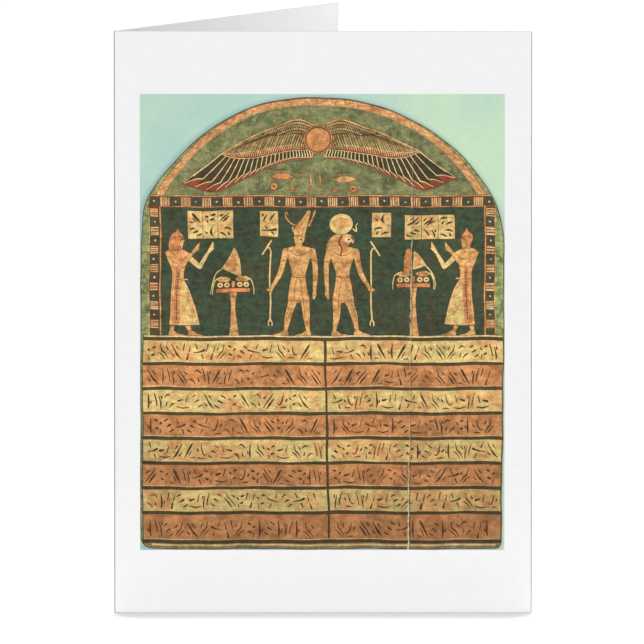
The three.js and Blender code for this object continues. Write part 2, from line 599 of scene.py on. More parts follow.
def draw_top_border(drawing, rng):
    """The border's row along the top, inside its rules."""
    high, low = BORDER_TOP - 0.35, FIELD_TOP
    drawing.paint("outline", within_arch(BORDER_START - 0.2, low - 0.5, BORDER_END + 0.15, BORDER_TOP + 0.35))
    drawing.paint("gold", within_arch(BORDER_START, BORDER_TOP - 0.05, BORDER_END, BORDER_TOP + 0.22))
    drawing.paint("red_line", within_arch(BORDER_START, high - 0.05, BORDER_END, BORDER_TOP - 0.12))
    drawing.paint("border_dark", within_arch(BORDER_START, low, BORDER_END, high))
    for k in range(TOP_GROUPS):
        left = TOP_FIRST + k * TOP_PITCH
        stripes(drawing, rng, left, low + 0.05, left + TOP_PITCH - TOP_SQUARE, high - 0.05, True)
    for k in range(TOP_GROUPS + 1):
        x = TOP_FIRST - TOP_SQUARE / 2 + k * TOP_PITCH + rng.uniform(-0.2, 0.2)
        y = (low + high) / 2 + rng.uniform(-0.25, 0.25)
        drawing.paint("pale_spot", oval(x, y, rng.uniform(0.22, 0.4), rng.uniform(0.2, 0.36), 8))
    drawing.paint("red_line", within_arch(BORDER_START, low - 0.42, BORDER_END, low + 0.04))
    drawing.paint("gold", box(FIELD_LEFT - 0.6, low - 0.2, FIELD_RIGHT + 0.6, low - 0.04))


def draw_border_column(drawing, rng, left):
    """One of the border's columns beside the field."""
    right = left + COLUMN_WIDTH
    drawing.paint("outline", box(left - 0.25, FIELD_BOTTOM, right + 0.25, FIELD_TOP - 0.4))
    drawing.paint("border_dark", box(left, FIELD_BOTTOM, right, FIELD_TOP - 0.45))
    for k in range(COLUMN_GROUPS):
        high = FIELD_TOP - 0.6 - k * COLUMN_PITCH
        low = high - (COLUMN_PITCH - COLUMN_SQUARE)
        stripes(drawing, rng, left, low, right, high, False)
        middle = low - COLUMN_SQUARE / 2
        if middle > FIELD_BOTTOM + 0.8:
            x = (left + right) / 2 + rng.uniform(-0.25, 0.25)
            drawing.paint("pale_spot", oval(x, middle, rng.uniform(0.22, 0.38), rng.uniform(0.2, 0.36), 8))


def draw_border(drawing, rng):
    """A row along the top and a column down each side: dark squares with a pale spot, between stripes."""
    draw_top_border(drawing, rng)
    for left in COLUMN_LEFTS:
        draw_border_column(drawing, rng, left)
    for x in (FIELD_LEFT - 0.62, FIELD_RIGHT - 0.02):
        drawing.paint("red_line", box(x - 0.12, FIELD_BOTTOM, x + 0.6, FIELD_TOP - 0.4))
        drawing.paint("gold", box(x + 0.1, FIELD_BOTTOM, x + 0.4, FIELD_TOP - 0.25))
    for x in (COLUMN_LEFTS[0] - 0.42, COLUMN_LEFTS[1] + COLUMN_WIDTH + 0.12):
        drawing.paint("gold", box(x, FIELD_BOTTOM, x + 0.22, FIELD_TOP - 0.6))


def draw_field(drawing):
    """The dark field behind the figures."""
    drawing.paint("field_green", box(FIELD_LEFT - 0.3, FIELD_BOTTOM, FIELD_RIGHT + 0.3, FIELD_TOP))


def draw_ground_line(drawing):
    """The pale and dark lines that the figures stand on."""
    drawing.paint("rule", box(ROWS_LEFT - 0.3, ROWS_TOP - 0.1, ROWS_RIGHT + 0.1, FIELD_BOTTOM - 0.3))
    drawing.paint("outline", box(ROWS_LEFT - 0.3, FIELD_BOTTOM - 0.5, ROWS_RIGHT + 0.1, FIELD_BOTTOM + 0.2))
    drawing.paint("cream_line", box(ROWS_LEFT, FIELD_BOTTOM - 0.38, ROWS_RIGHT, FIELD_BOTTOM + 0.08))


# Figures look along +x and stand on the ground line. Lengths are squares, eighteen from sole to hairline.

FIGURE_GROUND = FIELD_BOTTOM + 0.1
FINE_LINE = 0.15


class Pen:
    """Paints outlines that are drawn round a point of their own: it scales them, turns them to the left where
    facing is -1, and puts that point at its place in the picture."""

    def __init__(self, drawing, place, square=1.0, facing=1):
        self.drawing = drawing
        self.place = place
        self.scale = (square * facing, square)

    def placed(self, outlines):
        return [np.asarray(outline) * self.scale + self.place for outline in outlines]

    def paint(self, ink, *outlines):
        self.drawing.paint(ink, *self.placed(outlines))

    def rimmed(self, ink, rim_ink, rim, *outlines):
        self.drawing.rimmed(ink, rim_ink, rim, *self.placed(outlines))


def foot(heel):
    """A flat sole with the toes in front. The heel is its place along x."""
    instep = [(heel + 0.2, 1.0), (heel + 0.95, 0.9), (heel + 1.7, 0.4), (heel + 2.7, 0.2), (heel + 2.9, 0.05)]
    return joined([(heel, 0.05), (heel - 0.05, 0.5), instep[0]], instep, [instep[-1], (heel, 0.05)])


def striding_legs():
    """Two legs apart, with the near foot in front."""
    return [
        limb([(-0.95, 7.2), (-1.15, 5.6), (-1.3, 3.6), (-1.65, 0.8)], [1.9, 1.45, 1.25, 0.6]),
        foot(-2.1),
        limb([(1.0, 7.2), (1.5, 5.6), (2.05, 3.6), (2.6, 0.8)], [1.9, 1.4, 1.2, 0.6]),
        foot(2.1),
    ]


def kilt():
    """A short kilt, from the belt to its hem above the knees."""
    return joined([(-1.2, 11.1), (-1.45, 9.2), (-1.9, 6.5)], [(-1.9, 6.5), (0.1, 6.2), (2.1, 6.5)],
                  [(2.1, 6.5), (1.65, 9.2), (1.3, 11.1)])


def torso():
    """Seen from the front, as wide as the shoulders and narrow at the belt."""
    return joined([(-2.75, 15.6), (-2.1, 14.4), (-1.5, 12.6), (-1.1, 10.9)], [(-1.1, 10.9), (1.2, 10.9)],
                  [(1.2, 10.9), (1.5, 12.6), (2.1, 14.4), (2.75, 15.6)],
                  [(2.75, 15.6), (2.2, 16.3), (0.7, 16.6), (-0.7, 16.6), (-2.2, 16.3), (-2.75, 15.6)])


def hanging_arm():
    """The arm that hangs behind the body, with its closed hand."""
    return [
        limb([(-2.5, 15.7), (-2.95, 13.6), (-3.05, 11.3), (-2.9, 8.3)], [1.2, 1.0, 0.9, 0.6]),
        limb([(-2.92, 8.4), (-2.9, 7.7), (-2.75, 7.0)], [0.55, 0.8, 0.45]),
    ]


def staff_arm():
    """The arm that reaches forwards and down, with its hand on the staff."""
    return [
        limb([(2.5, 15.7), (3.0, 13.5), (3.6, 11.3), (4.95, 8.9)], [1.2, 1.0, 0.9, 0.6]),
        limb([(4.9, 8.95), (5.25, 8.55), (5.75, 8.5)], [0.6, 0.85, 0.5]),
    ]


def staff():
    """A long rod with a slanted head and a forked foot."""
    return [
        limb([(5.4, 3.0), (5.3, 7.0), (5.4, 12.0), (5.3, 15.7)], [0.3, 0.28, 0.28, 0.28]),
        limb([(5.3, 15.7), (5.6, 16.3), (6.1, 16.2)], [0.28, 0.3, 0.26]),
        limb([(5.2, 17.6), (6.9, 15.0)], [0.34, 0.26]),
        limb([(5.4, 3.0), (5.05, 2.3), (5.1, 1.8)], [0.28, 0.22, 0.18]),
        limb([(5.4, 3.0), (5.75, 2.3), (5.7, 1.8)], [0.28, 0.22, 0.18]),
    ]


def calm_head():
    """A plain profile: a round skull, level brow, short straight nose, closed mouth and round chin."""
    return [
        limb([(0.05, 16.2), (0.1, 17.5)], [1.35, 1.2]),
        joined([(-0.85, 17.4), (-1.0, 18.3), (-0.6, 19.1), (0.2, 19.3), (0.75, 18.9), (0.85, 18.5)],
               [(0.85, 18.5), (1.15, 18.05)], [(1.15, 18.05), (0.86, 17.95)],
               [(0.86, 17.95), (0.98, 17.75), (0.86, 17.6), (0.88, 17.35), (0.5, 17.1), (-0.85, 17.4)]),
    ]


def tall_crown():
    """A crown that leans back: a high cap with a rounded tip, a spike behind it and a curl in front."""
    return [
        joined([(-0.95, 18.1), (-1.15, 19.3), (-1.55, 20.8), (-1.95, 22.1), (-2.1, 22.8)],
               [(-2.1, 22.8), (-1.95, 23.2), (-1.5, 23.1)],
               [(-1.5, 23.1), (-0.95, 22.2), (0.0, 21.2), (0.75, 20.3), (1.0, 19.4), (1.0, 18.6)],
               [(1.0, 18.6), (0.0, 18.4), (-0.95, 18.1)]),
        limb([(-1.75, 20.4), (-2.5, 21.9), (-2.95, 23.2)], [0.3, 0.34, 0.28]),
        limb([(0.6, 20.5), (1.6, 20.9), (2.4, 21.8), (2.6, 22.6), (2.3, 22.9), (2.1, 22.4)],
             [0.24, 0.22, 0.2, 0.18, 0.16], steps=7),
        limb([(0.95, 19.2), (1.3, 19.8), (1.2, 20.3)], [0.32, 0.26, 0.18]),
    ]


def bird_head():
    """A falcon's head with a hooked beak, in a wig that falls behind the shoulder."""
    return [
        limb([(0.05, 16.2), (0.1, 17.5)], [1.35, 1.2]),
        joined([(-3.0, 14.8), (-3.1, 16.6), (-2.5, 18.2), (-1.2, 19.0), (0.2, 19.1), (1.0, 18.8)],
               [(1.0, 18.8), (0.2, 17.2), (-0.4, 15.9)], [(-0.4, 15.9), (-1.7, 15.6), (-3.0, 14.8)]),
        joined([(-0.3, 16.8), (-0.5, 18.0), (0.1, 18.8), (1.3, 18.9), (1.9, 18.4)],
               [(1.9, 18.4), (2.15, 17.8), (1.8, 17.2)], [(1.8, 17.2), (1.45, 17.6)],
               [(1.45, 17.6), (1.1, 17.0), (0.9, 16.7), (-0.3, 16.8)]),
    ]


def draw_bird_details(pen, fine):
    """The wig's lappet and bands, the bird's eye and beak, and the sun disc with a small snake in front."""
    pen.paint("red", limb([(-0.3, 18.6), (-0.75, 17.4), (-0.2, 16.3), (-0.35, 14.9)], [0.4, 0.4, 0.35, 0.3]))
    pen.paint("cream_line", oval(0.95, 17.75, 0.62, 0.5, 14))
    pen.paint("stroke", oval(1.05, 17.95, 0.24, 0.2, 8), limb([(1.6, 18.4), (2.0, 17.8)], [0.26, 0.18]))
    for rise in (0.0, 0.75, 1.5):
        pen.paint("red_line", limb([(-2.8, 16.0 + rise), (-1.7, 16.25 + rise), (-0.75, 16.1 + rise)], fine))
    pen.rimmed("pale_gold", "outline", 0.18, oval(-0.35, 20.9, 2.2, 1.95, 30))
    pen.paint("ochre", oval(-0.35, 21.0, 1.6, 1.2, 20))
    pen.paint("gold", oval(-0.35, 21.0, 1.35, 0.98, 20))
    snake = [(1.9, 19.9), (2.5, 19.5), (2.45, 20.5), (2.8, 21.0)]
    pen.paint("pale_gold", limb(snake, [0.24, 0.26, 0.22, 0.14]))


def draw_crowned_details(pen, fine):
    """A plain eye and ear, the crown's brow band and two folds up it."""
    pen.paint("stroke", limb([(0.3, 18.3), (0.72, 18.35)], [0.14, 0.18]))
    pen.paint(
        "red_line",
        limb([(-1.15, 18.2), (-0.1, 18.5), (0.88, 18.65)], [2 * fine, 1.6 * fine]),
        limb([(-1.45, 22.4), (-0.6, 20.9), (0.1, 19.8), (0.2, 18.7)], fine),
        limb([(-1.2, 20.4), (-0.6, 19.7), (-0.45, 18.6)], fine),
        oval(-0.35, 17.9, 0.2, 0.26, 8),
    )


def draw_standing(drawing, x, square, facing, bird):
    """A striding figure in a short kilt with a staff, under a tall crown or a sun disc on a bird's head."""
    pen = Pen(drawing, (x, FIGURE_GROUND), square, facing)
    fine = FINE_LINE / square
    head = bird_head() if bird else calm_head() + tall_crown()
    pen.rimmed("pale_gold", "outline", 0.16, *staff())
    pen.rimmed("gold", "outline", 0.2, *striding_legs(), *hanging_arm(), torso(), *staff_arm(), *head)
    pen.rimmed("robe", "red_line", 0.1, kilt())
    pen.paint(
        "red_line",
        limb([(-1.2, 11.0), (0.0, 10.8), (1.3, 11.0)], 1.4 * fine),
        limb([(-1.85, 6.75), (0.1, 6.5), (2.05, 6.75)], 1.3 * fine),
        limb([(0.3, 10.8), (0.75, 9.0), (0.9, 6.6)], fine),
        limb([(-0.1, 10.8), (-0.5, 9.0), (-0.8, 6.6)], fine),
        limb([(-1.6, 15.7), (-0.6, 15.0), (0.6, 15.0), (1.7, 15.7)], 1.3 * fine),
        limb([(-1.9, 14.2), (-1.4, 13.5), (-0.9, 13.8)], fine),
        limb([(1.9, 14.2), (1.4, 13.5), (0.9, 13.8)], fine),
        limb([(-3.3, 13.9), (-2.6, 14.0)], 1.8 * fine),
        limb([(2.6, 14.0), (3.3, 13.8)], 1.8 * fine),
        limb([(-0.75, 7.0), (-0.85, 5.0), (-1.0, 3.4)], [fine, 0.5 * fine]),
        limb([(1.9, 5.2), (2.3, 3.8), (2.5, 2.4)], [fine, 0.5 * fine]),
    )
    if bird:
        draw_bird_details(pen, fine)
    else:
        draw_crowned_details(pen, fine)


def robe():
    """A long robe from the shoulders to the ankles, that flares forwards."""
    return joined([(-2.5, 15.8), (-2.0, 14.4), (-1.2, 12.4), (-1.15, 10.2), (-1.4, 6.2), (-1.75, 2.1)],
                  [(-1.7, 2.1), (0.6, 1.95), (4.0, 2.15)],
                  [(4.0, 2.15), (3.2, 5.7), (2.1, 8.8), (1.1, 10.7), (1.1, 12.4), (1.75, 14.4), (2.2, 15.7)],
                  [(2.2, 15.7), (0.8, 16.4), (-1.2, 16.5), (-2.5, 15.8)])


def skirt():
    """The robe's pale lower part in front."""
    return joined([(0.85, 10.4), (0.5, 6.4), (-0.1, 2.4)], [(-0.1, 2.4), (1.8, 2.3), (3.75, 2.5)],
                  [(3.75, 2.5), (2.95, 5.7), (1.85, 8.8), (0.85, 10.4)])


def robed_legs():
    """The ankles and feet under a robe."""
    return [
        limb([(-1.1, 2.4), (-1.2, 1.6), (-1.4, 0.7)], [0.95, 0.8, 0.6]),
        foot(-1.8),
        limb([(1.5, 2.4), (1.95, 1.5), (2.3, 0.7)], [1.0, 0.8, 0.6]),
        foot(1.9),
    ]


def raised_arm(shoulder, elbow, hand):
    """An arm bent up at the elbow, with an open hand of a thumb and joined fingers."""
    shoulder, elbow, hand = (np.array(point, float) for point in (shoulder, elbow, hand))
    way = (hand - elbow) / np.linalg.norm(hand - elbow)
    across = np.array([way[1], -way[0]])
    palm, tip = hand + 0.8 * way + 0.12 * across, hand + 2.1 * way - 0.15 * across
    thumb = [hand + 0.3 * way, hand + 0.8 * way + 0.4 * across, hand + 1.2 * way + 0.5 * across]
    return [
        limb([shoulder, elbow], [1.05, 0.85]),
        limb([elbow, (elbow + hand) / 2, hand], [0.85, 0.75, 0.5]),
        limb([hand, palm, hand + 1.5 * way, tip], [0.5, 0.8, 0.55, 0.2]),
        limb(thumb, [0.3, 0.28, 0.16]),
    ]


def hair(long):
    """Hair down to the shoulders, or a short round cap of it, with a small knob on top."""
    if long:
        outside = [(-1.75, 16.2), (-1.9, 17.2), (-1.75, 18.4), (-1.1, 19.4), (-0.2, 19.7), (0.6, 19.4),
                   (1.0, 18.7)]
        inside = [(1.0, 18.7), (0.4, 18.2), (0.15, 17.4), (0.5, 16.3)]
    else:
        outside = [(-0.8, 16.5), (-0.95, 17.5), (-1.3, 18.3), (-1.15, 19.1), (-0.5, 19.6), (0.4, 19.5),
                   (0.95, 18.8)]
        inside = [(0.95, 18.8), (0.3, 18.4), (-0.1, 17.6), (-0.2, 16.5)]
    cap = joined(outside, inside, [inside[-1], outside[0]])
    knob = joined([(-0.7, 19.4), (-0.4, 19.9), (-0.15, 20.4)], [(-0.15, 20.4), (0.1, 19.9), (0.4, 19.4)],
                  [(0.4, 19.4), (-0.7, 19.4)])
    return [cap, knob]


def draw_worshipper(drawing, x, square, facing, long_hair):
    """A figure in a long robe with both hands raised."""
    pen = Pen(drawing, (x, FIGURE_GROUND), square, facing)
    fine = FINE_LINE / square
    near_arm = raised_arm((-1.8, 15.4), (0.9, 13.6), (2.7, 15.9))
    pen.rimmed("pale_gold", "outline", 0.16, *raised_arm((1.5, 15.4), (4.1, 13.1), (5.6, 15.8)))
    pen.rimmed("gold", "outline", 0.2, *robed_legs(), *calm_head())
    pen.rimmed("robe", "outline", 0.2, robe())
    pen.paint("skirt", skirt())
    pen.paint("wig", limb([(-0.05, 13.0), (-0.15, 8.0), (-0.45, 2.6)], [0.7, 1.1, 1.3]))
    pen.rimmed("robe", "red_line", 0.12, *near_arm[:2])
    pen.rimmed("gold", "red_line", 0.1, *near_arm[2:])
    pen.rimmed("wig", "outline", 0.15, *hair(long_hair))
    pen.paint(
        "red_line",
        limb([(-0.95, 12.4), (-0.95, 8.0), (-1.15, 2.4)], 0.7 * fine),
        limb([(-1.2, 14.9), (0.3, 14.4), (1.5, 15.2)], fine),
        limb([(-1.4, 13.2), (0.0, 12.7), (1.3, 13.2)], fine),
        limb([(-1.0, 18.6), (0.0, 18.85), (0.9, 18.75)], 1.4 * fine),
    )
    pen.paint(
        "cream_line",
        limb([(-1.6, 2.3), (0.8, 2.15), (3.9, 2.3)], 1.6 * fine),
        limb([(3.85, 2.4), (3.1, 5.7), (2.0, 8.8), (1.1, 10.5)], [1.8 * fine, fine]),
    )
    pen.paint("stroke", *[oval(-0.02 - 0.025 * n, 11.9 - 0.58 * n, 0.15, 0.2, 6) for n in range(16)])
    pen.paint("stroke", limb([(0.4, 18.3), (0.8, 18.33)], [0.12, 0.18]))
    pen.paint("pale_spot", limb([(1.1, 10.8), (1.75, 10.75)], [0.24, 0.2]))


def draw_tall_goods(pen):
    """A jar and a leaning cone side by side, drawn round a point above the table's loaves."""
    pen.rimmed("table_red", "outline", 0.14, joined(
        [(-2.9, -0.4), (-2.9, 3.6), (-2.3, 6.4)], [(-2.3, 6.4), (-1.4, 6.8), (-0.9, 6.0)],
        [(-0.9, 6.0), (-1.1, 3.4), (-1.0, -0.4)]))
    pen.rimmed("gold", "pale_gold", 0.16, joined(
        [(-0.2, 0.5), (0.0, 3.2), (0.1, 5.8)], [(0.1, 5.8), (1.9, 3.9), (3.5, 1.6)],
        [(3.5, 1.6), (1.6, 0.9), (-0.2, 0.5)]))
    pen.paint("table_red", limb([(0.5, 1.3), (2.2, 2.2)], [0.5, 0.4]))
    stem = [(3.4, 1.6), (5.4, -0.6), (6.7, -3.6), (6.5, -5.6)]
    pen.paint("pale_gold", limb(stem, [0.25, 0.44, 0.4, 0.2], steps=7))


def draw_cone(pen):
    """A wide cone with red seams and a drooping stem, drawn round a point above the table's loaves."""
    pen.rimmed("gold", "pale_gold", 0.16, joined(
        [(-3.2, 2.4), (-1.2, 5.6), (0.1, 8.4)], [(0.1, 8.4), (1.7, 4.6), (2.3, -0.2)],
        [(2.3, -0.2), (-0.6, 1.1), (-3.2, 2.4)]))
    for seam in ([(-1.0, 2.2), (0.3, 6.4)], [(0.4, 1.4), (0.8, 5.2)], [(-2.0, 2.6), (1.6, 3.2)]):
        pen.paint("table_red", limb(seam, [0.5, 0.3]))
    stem = [(-3.2, 2.3), (-5.3, 0.6), (-6.5, -3.0), (-6.9, -5.6)]
    pen.paint("pale_gold", limb(stem, [0.2, 0.34, 0.28, 0.16], steps=7))


def draw_table(drawing, x, bar_level, cone_alone):
    """An offering table, drawn round the middle of its bar: a flared post under the bar, and on it round and
    flat loaves, a jar, a cone and drooping stems."""
    pen = Pen(drawing, (x, bar_level))
    ground = FIGURE_GROUND - bar_level
    post_side = [(-1.5, ground), (-1.05, ground + 3.2), (-0.6, -4.5), (-1.15, -0.5)]
    other_side = [(-out, level) for out, level in post_side[::-1]]
    pen.rimmed("gold", "outline", 0.18, joined(post_side, [post_side[-1], other_side[0]], other_side))
    pen.paint("red_line", limb([(-0.7, -1.9), (0.7, -1.9)], 0.2))
    pen.rimmed("table_red", "outline", 0.16, box(-5.1, -0.55, 5.1, 0.55))
    for shift in (-4.0, -1.95, 2.0, 4.0):
        pen.rimmed("pale_gold", "outline", 0.14, oval(shift, 1.7, 0.85, 0.78, 16))
        pen.paint("red_line", oval(shift, 1.7, 0.36, 0.32, 8))
    pen.rimmed("table_red", "outline", 0.12, oval(0.0, 1.8, 0.5, 1.05, 12))
    for side in (-1, 1):
        loaf = side * 2.9
        pen.rimmed("gold", "outline", 0.15, oval(loaf, 3.4, 2.1, 0.8, 18))
        pen.paint("red_line", *[oval(loaf + step, 3.45, 0.2, 0.18, 6) for step in (-1.2, -0.5, 0.2, 0.9)])
        stem = [(side * 3.6, 4.2), (side * 5.5, 3.1), (side * 6.2, 1.0), (side * 6.3, -1.2)]
        pen.paint("pale_gold", limb(stem, [0.2, 0.34, 0.3, 0.2], steps=7))
    above_loaves = Pen(drawing, (x, bar_level + 4.5))
    if cone_alone:
        draw_cone(above_loaves)
    else:
        draw_tall_goods(above_loaves)


# Rows of strokes. Each mark is a few loose strokes that do not touch, drawn in a cell one wide and one high:
# its width in millimetres, then each stroke's points and the pen's widths.

MARKS = (
    (3.4, [([(0.02, 0.0), (0.3, 0.36), (0.62, 0.8), (0.78, 1.0)], [0.2, 0.62, 0.74, 0.24]),
           ([(0.42, 0.08), (0.6, 0.34), (0.72, 0.5)], [0.22, 0.36, 0.18]),
           ([(0.62, 0.02), (1.0, 0.06)], [0.22, 0.36])]),
    (3.2, [([(0.0, 0.34), (0.22, 0.24), (0.48, 0.52), (0.6, 0.94)], [0.2, 0.4, 0.44, 0.22]),
           ([(0.3, 0.02), (0.8, 0.06)], [0.28, 0.42]), ([(0.86, 0.5), (0.96, 0.64)], [0.54, 0.4])]),
    (2.6, [([(0.12, 0.86), (0.36, 0.8)], [0.66, 0.5]), ([(0.74, 0.6), (0.88, 0.68)], [0.5, 0.6]),
           ([(0.24, 0.34), (0.46, 0.28)], [0.7, 0.5]), ([(0.72, 0.0), (0.78, 0.24)], [0.36, 0.28])]),
    (2.4, [([(0.1, 0.0), (0.14, 0.36), (0.34, 0.8)], [0.3, 0.5, 0.24]),
           ([(0.0, 0.66), (0.06, 0.8)], [0.4, 0.5]),
           ([(0.6, 0.2), (0.74, 0.6), (0.98, 1.0)], [0.34, 0.44, 0.26])]),
    (3.6, [([(0.0, 0.1), (0.26, 0.42), (0.6, 0.74), (0.8, 0.98)], [0.26, 0.4, 0.36, 0.2]),
           ([(0.26, 0.04), (0.5, 0.3), (0.86, 0.66)], [0.3, 0.64, 0.24]),
           ([(0.06, 0.7), (0.28, 0.84)], [0.54, 0.3])]),
    (3.3, [([(0.0, 0.72), (0.3, 0.9), (0.58, 0.84)], [0.3, 0.56, 0.26]),
           ([(0.5, 0.04), (0.74, 0.26), (1.0, 0.34)], [0.28, 0.5, 0.3]),
           ([(0.16, 0.18), (0.26, 0.42)], [0.5, 0.3])]),
    (3.6, [([(0.0, 0.14), (0.5, 0.04), (1.0, 0.1)], [0.26, 0.46, 0.26]),
           ([(0.12, 0.52), (0.46, 0.6)], [0.74, 0.4]),
           ([(0.72, 0.42), (0.86, 0.9)], [0.34, 0.24])]),
    (3.3, [([(0.06, 0.98), (0.34, 0.6), (0.6, 0.3), (0.98, 0.02)], [0.26, 0.4, 0.66, 0.24]),
           ([(0.52, 0.86), (0.76, 0.64)], [0.46, 0.22]), ([(0.02, 0.4), (0.28, 0.2)], [0.24, 0.46])]),
    (3.0, [([(0.0, 0.76), (0.34, 0.9)], [0.34, 0.5]), ([(0.3, 0.42), (0.66, 0.56)], [0.36, 0.62]),
           ([(0.64, 0.1), (1.0, 0.24)], [0.34, 0.46])]),
    (1.6, [([(0.3, 0.0), (0.46, 0.4), (0.34, 1.0)], [0.28, 0.7, 0.24]),
           ([(0.82, 0.34), (0.98, 0.5)], [0.46, 0.28])]),
    (3.3, [([(0.0, 0.06), (0.34, 0.4), (0.58, 0.56), (0.72, 0.98)], [0.2, 0.54, 0.44, 0.22]),
           ([(0.26, 0.0), (0.58, 0.28), (0.9, 0.44)], [0.2, 0.44, 0.24]),
           ([(0.04, 0.64), (0.2, 0.82)], [0.48, 0.3])]),
    (3.4, [([(0.0, 0.62), (0.4, 0.5), (1.0, 0.42)], [0.66, 0.44, 0.24]),
           ([(0.66, 0.7), (0.82, 1.0)], [0.42, 0.26]),
           ([(0.12, 0.02), (0.28, 0.28)], [0.3, 0.46])]),
    (2.8, [([(0.04, 0.54), (0.22, 1.0)], [0.3, 0.44]), ([(0.52, 0.0), (0.68, 0.36)], [0.7, 0.3]),
           ([(0.8, 0.5), (0.94, 0.88)], [0.34, 0.28])]),
)


def mark(number, x, low, wide, tall, flip, pen):
    """One mark's strokes in a cell whose lower left corner is (x, low)."""
    start = (x + wide if flip < 0 else x, low)
    return [limb(np.array(points) * (wide * flip, tall) + start, [pen * width for width in widths])
            for points, widths in MARKS[number][1]]


def divider_at(level):
    """Where the divider between the two halves stands at a level."""
    share = (ROWS_TOP - level) / (ROW_PITCH * ROWS)
    return DIVIDER_TOP + (DIVIDER_FOOT - DIVIDER_TOP) * share


def draw_marks(drawing, rng, low, top, left, right, last):
    """Marks side by side in half a row, no two alike next to each other. Returns the last one's number."""
    x = left + rng.uniform(0.1, 0.5)
    while x < right - 1.6:
        number = int(rng.integers(0, len(MARKS) - 1))
        number += number >= last
        last = number
        foot = low + RULE_WIDTH + MARK_CLEARANCE + rng.uniform(-0.15, 0.3)
        tall = min(top - MARK_CLEARANCE - foot, ROW_PITCH - 2.5) * rng.uniform(0.88, 1.0)
        flip = 1 if rng.random() < 0.5 else -1
        wide = MARKS[number][0] * rng.uniform(0.85, 1.08)
        strokes = mark(number, x, foot, wide, tall, flip, rng.uniform(0.8, 1.1))
        if x + wide > right:
            break
        drawing.paint("faint_stroke" if rng.random() < 0.25 else "stroke", *strokes)
        x += wide + rng.uniform(0.35, 0.85)
    return last


def uneven_line(low, right, rises):
    """A line across a row, from its left end to the right: points at their rises over the row's foot."""
    return [(x, low + rise) for x, rise in zip((ROWS_LEFT, *RULE_BENDS, right), rises)]


def draw_rows(drawing, rng):
    """Eight rows in two halves, cream and orange in turn, ruled with dark lines."""
    right_edges = ROWS_RIGHT - FOOT_NARROWING * np.linspace(0, 1, ROWS)
    rounded_foot = tablet_outline(0.3)[-2 * CORNER_POINTS - 1:-1]
    drawing.paint("rim_wood", rounded_foot, box(ROWS_LEFT, 2.0, right_edges[-1], 5.0))
    drawing.paint("cream_line", box(ROWS_LEFT + 2.4, 1.25, right_edges[-1] - 1.4, 1.8))
    last = -1
    for row, right_edge in enumerate(right_edges):
        top = ROWS_TOP - row * ROW_PITCH
        low = top - ROW_PITCH - (LAST_ROW_EXTRA if row == ROWS - 1 else 0.0)
        drawing.paint("rule", box(TABLET_LEFT + 0.2, low, right_edge + 0.15, top))
        drawing.paint("orange_band" if row % 2 else "cream_band", box(ROWS_LEFT - 0.15, low, right_edge, top))
        middle = divider_at((top + low) / 2)
        for left, right in ((ROWS_LEFT + 0.7, middle - 1.2), (middle + 1.3, right_edge - 0.6)):
            last = draw_marks(drawing, rng, low, top, left, right, last)
        pale = uneven_line(low, right_edge, (1.25, 1.1, 1.3, 1.2, 1.15))
        drawing.paint("cream_line", limb(pale, [0.22, 0.1, 0.25, 0.08, 0.2], steps=10))
        rule = uneven_line(low, right_edge - 0.35, (0.5, 0.42, 0.6, 0.45, 0.55))
        drawing.paint("rule", limb(rule, RULE_WIDTH * rng.uniform(0.75, 1.2, 9), steps=14))
    levels = np.linspace(ROWS_TOP, ROWS_TOP - ROWS * ROW_PITCH + 0.6, 8)
    divider = [(divider_at(level), level) for level in levels]
    drawing.paint("rule", limb(divider, rng.uniform(0.6, 0.95, 12), steps=6))


# Label panels: left, low, right and high side, and the number of cells side by side.
LABELS = (
    (14.6, 94.9, 28.4, 103.3, 3), (36.5, 95.4, 42.0, 103.0, 1),
    (70.6, 95.2, 76.4, 102.6, 1), (80.6, 94.7, 95.8, 102.0, 3),
)
LABEL_ROWS = 2


def draw_label(drawing, rng, left, low, right, high, columns):
    """A pale panel with thin dividers and one mark in each cell."""
    drawing.rimmed("label", "outline", 0.16, box(left, low, right, high))
    wide, tall = (right - left) / columns, (high - low) / LABEL_ROWS
    for column in range(1, columns):
        x = left + column * wide
        drawing.paint("red_line", limb([(x, low), (x, high)], [0.2, 0.16]))
    for row in range(1, LABEL_ROWS):
        y = low + row * tall
        drawing.paint("ochre", limb([(left, y), (right, y)], 0.2))
    for column in range(columns):
        for row in range(LABEL_ROWS):
            number = int(rng.integers(0, len(MARKS)))
            flip = 1 if rng.random() < 0.5 else -1
            x, foot = left + (column + 0.14) * wide, low + (row + 0.17) * tall
            drawing.paint("stroke", *mark(number, x, foot, wide * 0.72, tall * 0.66, flip, 1.2))


# Each table's middle, the level of its bar, and whether its cone stands alone. Each figure's place, the size
# of its squares, the way that it faces, and last whether its hair is long or whether it has a bird's head.
TABLES = ((28.5, 79.0, True), (83.4, 80.7, False))
WORSHIPPERS = ((11.7, 1.6, 1, True), (99.2, 1.6, -1, False))
STANDING = ((48.5, 1.64, -1, False), (61.8, 1.62, 1, True))
SEED = 41


def draw_picture():
    """The whole drawing, from the backdrop up to the last stroke."""
    rng = np.random.default_rng(SEED)
    drawing = Drawing()
    draw_ground(drawing, rng)
    for side in (-1, 1):
        draw_wing(drawing, side)
    draw_disc(drawing)
    draw_small_marks(drawing)
    draw_field(drawing)
    draw_border(drawing, rng)
    for label in LABELS:
        draw_label(drawing, rng, *label)
    for table in TABLES:
        draw_table(drawing, *table)
    for figure in WORSHIPPERS:
        draw_worshipper(drawing, *figure)
    for figure in STANDING:
        draw_standing(drawing, *figure)
    draw_ground_line(drawing)
    draw_rows(drawing, rng)
    return drawing


# Points of the drawing that are nearer to each other than this, in millimetres, become one.
MERGE_DISTANCE = 0.001


